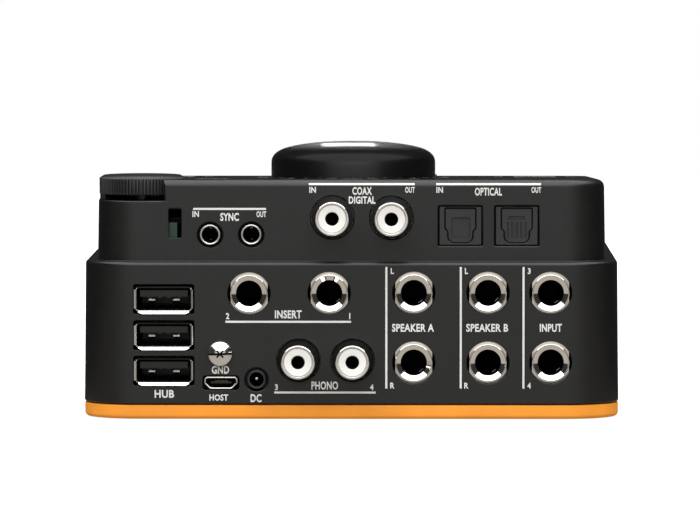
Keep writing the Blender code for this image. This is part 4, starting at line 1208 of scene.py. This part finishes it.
# ------------------------------------------------------------------ buttons: crowned caps with a lamp window
for name, (x, y) in BUTTONS.items():
    z = top_z(y) + 0.5
    cap = bmesh.new()
    outline = rounded(x, y, 4.2, 2.7, 0.6, 6)
    rings = [[(px, py, zz) for px, py in outline(off)] for zz, off in ((48.4, 0.0), (z - 0.35, 0.0), (z - 0.18, -0.06), (z - 0.05, -0.2), (z, -0.4), (z - 0.02, -1.1), (z - 0.12, -1.9))]
    loft(cap, rings)
    cap = temporary(cap)
    flange = bmesh.new()
    block(flange, x - 5.1, x + 5.1, y - 3.6, y + 3.6, z - 4.5, z - 3.6, 0.15)
    apply_boolean(cap, temporary(flange), "UNION")
    finish_piece(cap, name + "_key", [BUTTON], name + "_button", [name + "_button"], angle=34)
    window = bmesh.new()
    outline = rounded(x, y - 1.9, 1.5, 0.22, 0.2, 4)
    loft(window, [[(px, py, zz) for px, py in outline(off)] for zz, off in ((z - 0.4, 0.0), (z + 0.0, 0.0), (z + 0.03, -0.06))])
    piece(window, name + "_key_lamp", [LAMP_WHITE if name in ("speaker", "mono") else (LAMP_AMBER if name == "dim" else LAMP_RED)], name + "_button")


# ------------------------------------------------------------------ printed lettering and lines
def text_points(body, size, width_scale, bold):
    """A line of type as a flat mesh about its own middle: outlines only, no picture."""
    curve = bpy.data.curves.new("type", "FONT")
    curve.body = body
    curve.size = size
    curve.offset = bold
    curve.space_character = 1.06
    curve.align_x = "CENTER"
    curve.resolution_u = 3
    curve.fill_mode = "BOTH"
    curve.extrude = 0.5
    obj = bpy.data.objects.new("type", curve)
    bpy.context.scene.collection.objects.link(obj)
    bpy.context.view_layer.update()
    graph = bpy.context.evaluated_depsgraph_get()
    mesh = bpy.data.meshes.new_from_object(obj.evaluated_get(graph))
    bpy.data.objects.remove(obj, do_unlink=True)
    verts = [(v.co.x * width_scale, v.co.y, v.co.z) for v in mesh.vertices]
    faces = [tuple(p.vertices) for p in mesh.polygons]
    bpy.data.meshes.remove(mesh)
    xs, ys = [v[0] for v in verts], [v[1] for v in verts]
    mid = ((min(xs) + max(xs)) / 2, (min(ys) + max(ys)) / 2)
    return [(a - mid[0], b - mid[1], c) for a, b, c in verts], faces, max(xs) - min(xs), max(ys) - min(ys)


THICK = 0.03


def print_text(bm, body, place, height, width=None, bold=0.028):
    """Adds type to bm. place(u, v, w) maps type millimetres and height over the surface to the housing's millimetres."""
    verts, faces, w, h = text_points(body, 1.0, 1.0, bold)
    sy = height / h
    sx = (width / w) if width else sy * 0.86
    made = [bm.verts.new(place(a * sx, b * sy, 0.006 + (c + 0.5) * THICK)) for a, b, c in verts]
    for face in faces:
        try:
            bm.faces.new([made[i] for i in face])
        except ValueError:
            pass


def bar(bm, place, u0, u1, v0, v1):
    n = 1
    corners = [(u0, v0), (u1, v0), (u1, v1), (u0, v1)]
    loft(bm, [[place(u, v, w) for u, v in corners] for w in (0.004, 0.004 + THICK)])


def rear_low(x0, z0):
    return lambda u, v, w: (x0 + u, -(half_low(z0 + v) + w), z0 + v)


def rear_up(x0, z0):
    return lambda u, v, w: (x0 + u, -(half_up(z0 + v) + w), z0 + v)


def front_low(x0, z0):
    return lambda u, v, w: (x0 - u, half_low(z0 + v) + w, z0 + v)


def on_top(x0, y0):
    return lambda u, v, w: (x0 - u, y0 - v, top_z(y0 - v) + w)


LINE = 0.24
low = bmesh.new()
for x0, x1, z in ((-29.65, 0.0, 23.0), (-18.1, 5.8, 6.3)):
    bar(low, rear_low((x0 + x1) / 2, z), -(x1 - x0) / 2, (x1 - x0) / 2, -LINE, LINE)
for x, z0, z1 in ((8.33, 7.25, 35.95), (25.88, 7.25, 35.95), (40.66, 7.25, 35.95)):
    bar(low, rear_low(x, (z0 + z1) / 2), -LINE, LINE, -(z1 - z0) / 2, (z1 - z0) / 2)
LABELS_LOW = [("INSERT", -14.8, 24.75, 1.95, 6.3), ("2", -29.1, 24.35, 1.45, None), ("1", -0.3, 24.35, 1.45, None), ("PHONO", -6.2, 7.95, 1.95, 6.3), ("3", -17.6, 7.55, 1.4, None),
              ("4", 4.9, 7.55, 1.4, None), ("SPEAKER A", 14.6, 21.6, 1.9, 9.9), ("SPEAKER B", 32.1, 21.6, 1.9, 9.9), ("INPUT", 47.1, 21.6, 1.9, 5.2), ("L", 9.75, 35.0, 1.4, None),
              ("L", 27.2, 35.0, 1.4, None), ("R", 9.75, 7.95, 1.4, None), ("R", 27.2, 7.95, 1.4, None), ("3", 42.0, 35.0, 1.4, None), ("4", 42.0, 7.95, 1.4, None),
              ("HUB", -44.05, 5.95, 1.9, 4.6), ("GND", -30.8, 11.65, 1.85, 4.1), ("DC", -22.4, 4.95, 1.9, 2.6), ("HOST", -31.2, 5.1, 1.5, 4.4)]
for body, x, z, height, width in LABELS_LOW:
    print_text(low, body, rear_low(x, z), height, width)
piece(low, "rear_print_lower", [INK], "chassis", angle=60, weighted=False)

high = bmesh.new()
for x0, x1, z in ((-37.3, -20.1, 49.5), (-10.0, 15.0, 55.35), (20.1, 44.8, 55.35)):
    # the two upper lines lie on the rounded rim, so they follow it
    if z < 54.0:
        bar(high, rear_up((x0 + x1) / 2, z), -(x1 - x0) / 2, (x1 - x0) / 2, -LINE, LINE)
    else:
        edge_z = top_z(-59.83) - 1.9

        def rim(u, v, w, x0=x0, x1=x1, z=z):
            zz = z + v
            if zz <= edge_z:
                return ((x0 + x1) / 2 + u, -(half_up(zz) + w), zz)
            a = math.asin(min(1.0, (zz - edge_z) / 1.9))
            return ((x0 + x1) / 2 + u, -(59.83 - 1.9 + (1.9 + w) * math.cos(a)), edge_z + (1.9 + w) * math.sin(a))
        steps = [-LINE + 2 * LINE * k / 4 for k in range(5)]
        hw = (x1 - x0) / 2
        outer_ring = [rim(-hw, v, 0.004 + THICK) for v in steps] + [rim(-hw, v, 0.004) for v in reversed(steps)]
        other_ring = [rim(hw, v, 0.004 + THICK) for v in steps] + [rim(hw, v, 0.004) for v in reversed(steps)]
        loft(high, [outer_ring, other_ring])
LABELS_UP = [("SYNC", -28.7, 47.6, 1.9, 4.4), ("IN", -36.7, 48.3, 1.4, 1.55), ("OUT", -21.2, 48.25, 1.4, 2.3), ("COAX", 2.6, 53.75, 1.85, 4.6), ("DIGITAL", 2.6, 51.6, 1.75, 6.3),
             ("IN", -9.1, 54.0, 1.4, 1.55), ("OUT", 13.9, 54.0, 1.4, 2.3), ("OPTICAL", 32.4, 53.6, 1.9, 6.4), ("IN", 20.9, 54.0, 1.4, 1.55), ("OUT", 43.7, 54.0, 1.4, 2.3)]
for body, x, z, height, width in LABELS_UP:
    print_text(high, body, rear_up(x, z), height, width)
piece(high, "rear_print_upper", [INK], "chassis", angle=60, weighted=False)

front = bmesh.new()
for x0, x1, label in ((26.2, 53.8, "MIC 1"), (-1.3, 26.3, "MIC 2")):
    print_text(front, label, front_low((x0 + x1) / 2, 34.6), 1.8)
for name, (x, z) in PHONES.items():
    print_text(front, "PHONES " + name, front_low(x, 28.6), 1.8)
    bar(front, front_low(x, 13.0), -5.0, 5.0, -0.2, 0.2)
piece(front, "front_print", [INK], "chassis", angle=60, weighted=False)

THICK = 0.012
top = bmesh.new()
for name, (x, y) in DIALS.items():
    label = {"gain_1": "GAIN 1", "gain_2": "GAIN 2", "phones_1": "PHONES 1", "phones_2": "PHONES 2"}[name]
    print_text(top, label, on_top(x, y + 10.7), 1.7)
    for k in range(11):
        a = math.radians(-150 + 30 * k) - math.pi / 2
        tick = (x + 9.1 * math.cos(a), y + 9.1 * math.sin(a))
        end = (x + (10.0 if k % 5 else 10.4) * math.cos(a), y + (10.0 if k % 5 else 10.4) * math.sin(a))
        across = Vector((-(end[1] - tick[1]), end[0] - tick[0])).normalized() * 0.12
        corners = [(tick[0] + across.x, tick[1] + across.y), (end[0] + across.x, end[1] + across.y), (end[0] - across.x, end[1] - across.y), (tick[0] - across.x, tick[1] - across.y)]
        loft(top, [[(px, py, top_z(py) + w) for px, py in corners] for w in (0.004, 0.004 + THICK)])
for name, (x, y) in BUTTONS.items():
    print_text(top, {"speaker": "A / B", "dim": "DIM", "mute": "MUTE", "mono": "MONO"}[name], on_top(x, y - 5.0), 1.6)
for number, x in (("1", 15.0), ("2", 5.0), ("3", -5.0), ("4", -15.0)):
    print_text(top, number, on_top(x, -28.6), 1.6)
print_text(top, "PHONES", on_top(-33.5, -44.6), 1.7)
print_text(top, "LEVEL", on_top(0.0, -51.8), 1.6)
piece(top, "top_print", [INK_TOP], "chassis", angle=60, weighted=False)

# level meter lamps on the panel, and a ring of marks round the knob well
for colour, mat, rows in (("green", LAMP_GREEN, range(0, 6)), ("amber", LAMP_AMBER, range(6, 8)), ("red", LAMP_RED, range(8, 9))):
    lamps = bmesh.new()
    for x in (15.0, 5.0, -5.0, -15.0):
        for row in rows:
            y = -32.5 - 2.0 * row
            outline = rounded(x, y, 1.3, 0.55, 0.3, 4)
            loft(lamps, [[(px, py, top_z(py) + zz) for px, py in outline(off)] for zz, off in ((-0.3, 0.0), (0.002, 0.0), (0.012, -0.1))])
    piece(lamps, "meter_lamps_" + colour, [mat], "chassis")

ring = bmesh.new()
for k in range(31):
    a = math.radians(-150 + 10 * k) - math.pi / 2
    r0, r1 = 22.2, 23.4 if k % 5 else 24.0
    c, s = math.cos(a), math.sin(a)
    corners = [(r0 * c - 0.14 * s, r0 * s + 0.14 * c), (r1 * c - 0.14 * s, r1 * s + 0.14 * c), (r1 * c + 0.14 * s, r1 * s - 0.14 * c), (r0 * c + 0.14 * s, r0 * s - 0.14 * c)]
    loft(ring, [[(px, py, top_z(py) + w) for px, py in corners] for w in (0.004, 0.004 + THICK)])
piece(ring, "knob_scale_print", [INK_TOP], "chassis", angle=60, weighted=False)

riser = bmesh.new()
block(riser, -43.4, -41.15, -57.1, -55.9, 42.0, 46.15, 0.1)
riser = piece(riser, "wheel_board_riser", [BOARD], "chassis")

# ------------------------------------------------------------------ CAD parts that stay: boards, blocks and hidden parts get their finish
KEPT = {"base_plate": STEEL, "main_board": BOARD, "insert_board": BOARD, "upper_board": BOARD, "wheel_board": BOARD, "control_board": BOARD, "phono_block": WHITE, "coax_block": WHITE,
        "knob_shaft": SATIN, "knob_encoder": BLACK, "wheel_pot": BLACK}
for node, obj in NODES.items():
    if obj.hide_render:
        continue
    mat = KEPT.get(node, BLACK)
    obj.data.materials.clear()
    obj.data.materials.append(mat)

# ------------------------------------------------------------------ stage: white floor, soft lights, camera
stage_mesh = bmesh.new()
bmesh.ops.create_circle(stage_mesh, cap_ends=True, radius=1.35, segments=96)
mesh = bpy.data.meshes.new("studio_floor")
stage_mesh.to_mesh(mesh)
stage_mesh.free()
floor = bpy.data.objects.new("studio_floor", mesh)
bpy.context.scene.collection.objects.link(floor)
floor.location.z = -0.0002
white = bpy.data.materials.new("studio_floor_white")
white.use_nodes = True
tree = white.node_tree
tree.nodes.clear()
out = tree.nodes.new("ShaderNodeOutputMaterial")
diffuse = tree.nodes.new("ShaderNodeBsdfDiffuse")
diffuse.inputs["Color"].default_value = (0.66, 0.655, 0.645, 1.0)
glow = tree.nodes.new("ShaderNodeEmission")
glow.inputs["Color"].default_value = (1.0, 1.0, 1.0, 1.0)
glow.inputs["Strength"].default_value = 0.72
# what the part mirrors: a warm table that is bright in front of the sockets and falls away to dark flags at the sides
spot = tree.nodes.new("ShaderNodeTexCoord")
flat = tree.nodes.new("ShaderNodeVectorMath")
flat.operation = "NORMALIZE"
split = tree.nodes.new("ShaderNodeSeparateXYZ")
tree.links.new(spot.outputs["Object"], flat.inputs[0])
tree.links.new(flat.outputs[0], split.inputs[0])
ahead = tree.nodes.new("ShaderNodeMapRange")
ahead.interpolation_type = "SMOOTHSTEP"
for socket, value in (("From Min", 0.10), ("From Max", -0.72), ("To Min", 0.035), ("To Max", 0.50)):
    ahead.inputs[socket].default_value = value
tree.links.new(split.outputs[1], ahead.inputs["Value"])
behind = tree.nodes.new("ShaderNodeMapRange")
behind.interpolation_type = "SMOOTHSTEP"
for socket, value in (("From Min", 0.8), ("From Max", 1.0), ("To Min", 0.0), ("To Max", 0.2)):
    behind.inputs[socket].default_value = value
tree.links.new(split.outputs[1], behind.inputs["Value"])
both = tree.nodes.new("ShaderNodeMath")
tree.links.new(ahead.outputs["Result"], both.inputs[0])
tree.links.new(behind.outputs["Result"], both.inputs[1])
table = tree.nodes.new("ShaderNodeEmission")
table.inputs["Color"].default_value = (1.0, 0.94, 0.84, 1.0)
tree.links.new(both.outputs[0], table.inputs["Strength"])
paths = tree.nodes.new("ShaderNodeLightPath")
lit = tree.nodes.new("ShaderNodeAddShader")
pick = tree.nodes.new("ShaderNodeMixShader")
tree.links.new(diffuse.outputs[0], lit.inputs[0])
tree.links.new(glow.outputs[0], lit.inputs[1])
tree.links.new(paths.outputs["Is Camera Ray"], pick.inputs[0])
tree.links.new(table.outputs[0], pick.inputs[1])
tree.links.new(lit.outputs[0], pick.inputs[2])
under = tree.nodes.new("ShaderNodeMixShader")
clear = tree.nodes.new("ShaderNodeBsdfTransparent")
geometry = tree.nodes.new("ShaderNodeNewGeometry")
tree.links.new(geometry.outputs["Backfacing"], under.inputs[0])
tree.links.new(pick.outputs[0], under.inputs[1])
tree.links.new(clear.outputs[0], under.inputs[2])
tree.links.new(under.outputs[0], out.inputs["Surface"])
mesh.materials.append(white)

world = bpy.data.worlds.new("studio")
bpy.context.scene.world = world
world.use_nodes = True
tree = world.node_tree
tree.nodes.clear()
out = tree.nodes.new("ShaderNodeOutputWorld")
dim = tree.nodes.new("ShaderNodeBackground")
dim.inputs["Color"].default_value = (1.0, 1.0, 1.0, 1.0)
# a dark room with one broad soft glow low in front of the sockets
spot = tree.nodes.new("ShaderNodeTexCoord")
split = tree.nodes.new("ShaderNodeSeparateXYZ")
tree.links.new(spot.outputs["Generated"], split.inputs[0])
ahead = tree.nodes.new("ShaderNodeMapRange")
ahead.interpolation_type = "SMOOTHSTEP"
for socket, value in (("From Min", -0.66), ("From Max", -0.96), ("To Min", 0.0), ("To Max", 0.95)):
    ahead.inputs[socket].default_value = value
tree.links.new(split.outputs[1], ahead.inputs["Value"])
below = tree.nodes.new("ShaderNodeMapRange")
below.interpolation_type = "SMOOTHSTEP"
for socket, value in (("From Min", 0.62), ("From Max", 0.45), ("To Min", 0.0), ("To Max", 1.0)):
    below.inputs[socket].default_value = value
tree.links.new(split.outputs[2], below.inputs["Value"])
glow = tree.nodes.new("ShaderNodeMath")
glow.operation = "MULTIPLY"
tree.links.new(ahead.outputs["Result"], glow.inputs[0])
tree.links.new(below.outputs["Result"], glow.inputs[1])
room_light = tree.nodes.new("ShaderNodeMath")
room_light.inputs[1].default_value = 0.035
tree.links.new(glow.outputs[0], room_light.inputs[0])
tree.links.new(room_light.outputs[0], dim.inputs["Strength"])
page = tree.nodes.new("ShaderNodeBackground")
page.inputs["Color"].default_value = (1.0, 1.0, 1.0, 1.0)
page.inputs["Strength"].default_value = 1.0
paths = tree.nodes.new("ShaderNodeLightPath")
pick = tree.nodes.new("ShaderNodeMixShader")
tree.links.new(paths.outputs["Is Camera Ray"], pick.inputs[0])
tree.links.new(dim.outputs[0], pick.inputs[1])
tree.links.new(page.outputs[0], pick.inputs[2])
tree.links.new(pick.outputs[0], out.inputs["Surface"])


def softbox(name, place, target, width, height, radiance, colour=(1.0, 1.0, 1.0), diffuse_on=True):
    light = bpy.data.lights.new(name, "AREA")
    light.shape = "RECTANGLE"
    light.size, light.size_y = width, height
    light.energy = radiance * math.pi * width * height
    light.color = colour
    obj = bpy.data.objects.new(name, light)
    bpy.context.scene.collection.objects.link(obj)
    obj.location = place
    obj.rotation_euler = (Vector(target) - Vector(place)).to_track_quat("-Z", "Y").to_euler()
    obj.visible_camera = False
    obj.visible_diffuse = diffuse_on
    return obj


overhead = softbox("overhead_softbox", (0.0, -0.85, 1.10), (0.0, -0.85, 0.0), 2.6, 2.7, 3.3)
fill = softbox("user_side_fill", (0.0, 1.9, 1.5), (0.0, 0.0, 0.03), 1.6, 1.0, 2.2)
fill.visible_glossy = False
# the narrow card behind that shows on the knob's crown, lit for the knob only
crown = bpy.data.collections.new("crown_receivers")
crown.objects.link(bpy.data.objects["monitor_knob_cap"])
soft_top = softbox("knob_overhead", (0.0, -0.85, 1.10), (0.0, -0.85, 0.0), 2.6, 2.7, 0.6)
soft_top.light_linking.receiver_collection = crown
others = bpy.data.collections.new("overhead_receivers")
others.objects.link(bpy.data.objects["monitor_knob_cap"])
others.collection_objects[0].light_linking.link_state = "EXCLUDE"
overhead.light_linking.receiver_collection = others
for k, (z0, z1, left, right) in enumerate(((0.39, 0.46, -0.072, 0.016), (0.46, 0.55, -0.080, 0.025), (0.55, 0.66, -0.092, 0.036), (0.66, 0.80, -0.105, 0.048))):
    card = softbox("crown_card_%d" % k, ((right + left) / 2, 2.0, (z0 + z1) / 2), ((right + left) / 2, 0.0, (z0 + z1) / 2), right - left, z1 - z0, 6.5)
    card.light_linking.receiver_collection = crown

camera = bpy.data.objects.new("photo_camera", bpy.data.cameras.new("photo_camera"))
bpy.context.scene.collection.objects.link(camera)
camera.location = (0.01341, -1.548 + OY, 0.11713)
camera.rotation_euler = Vector((-58 / 6311, 1.0, -342 / 6311)).to_track_quat("-Z", "Y").to_euler()
camera.data.sensor_fit = "HORIZONTAL"
camera.data.sensor_width = 36.0
camera.data.lens = 324.57
camera.data.clip_start = 0.05
camera.data.clip_end = 60.0
bpy.context.scene.camera = camera
bpy.context.scene.view_settings.view_transform = "Standard"
bpy.context.scene.view_settings.look = "None"
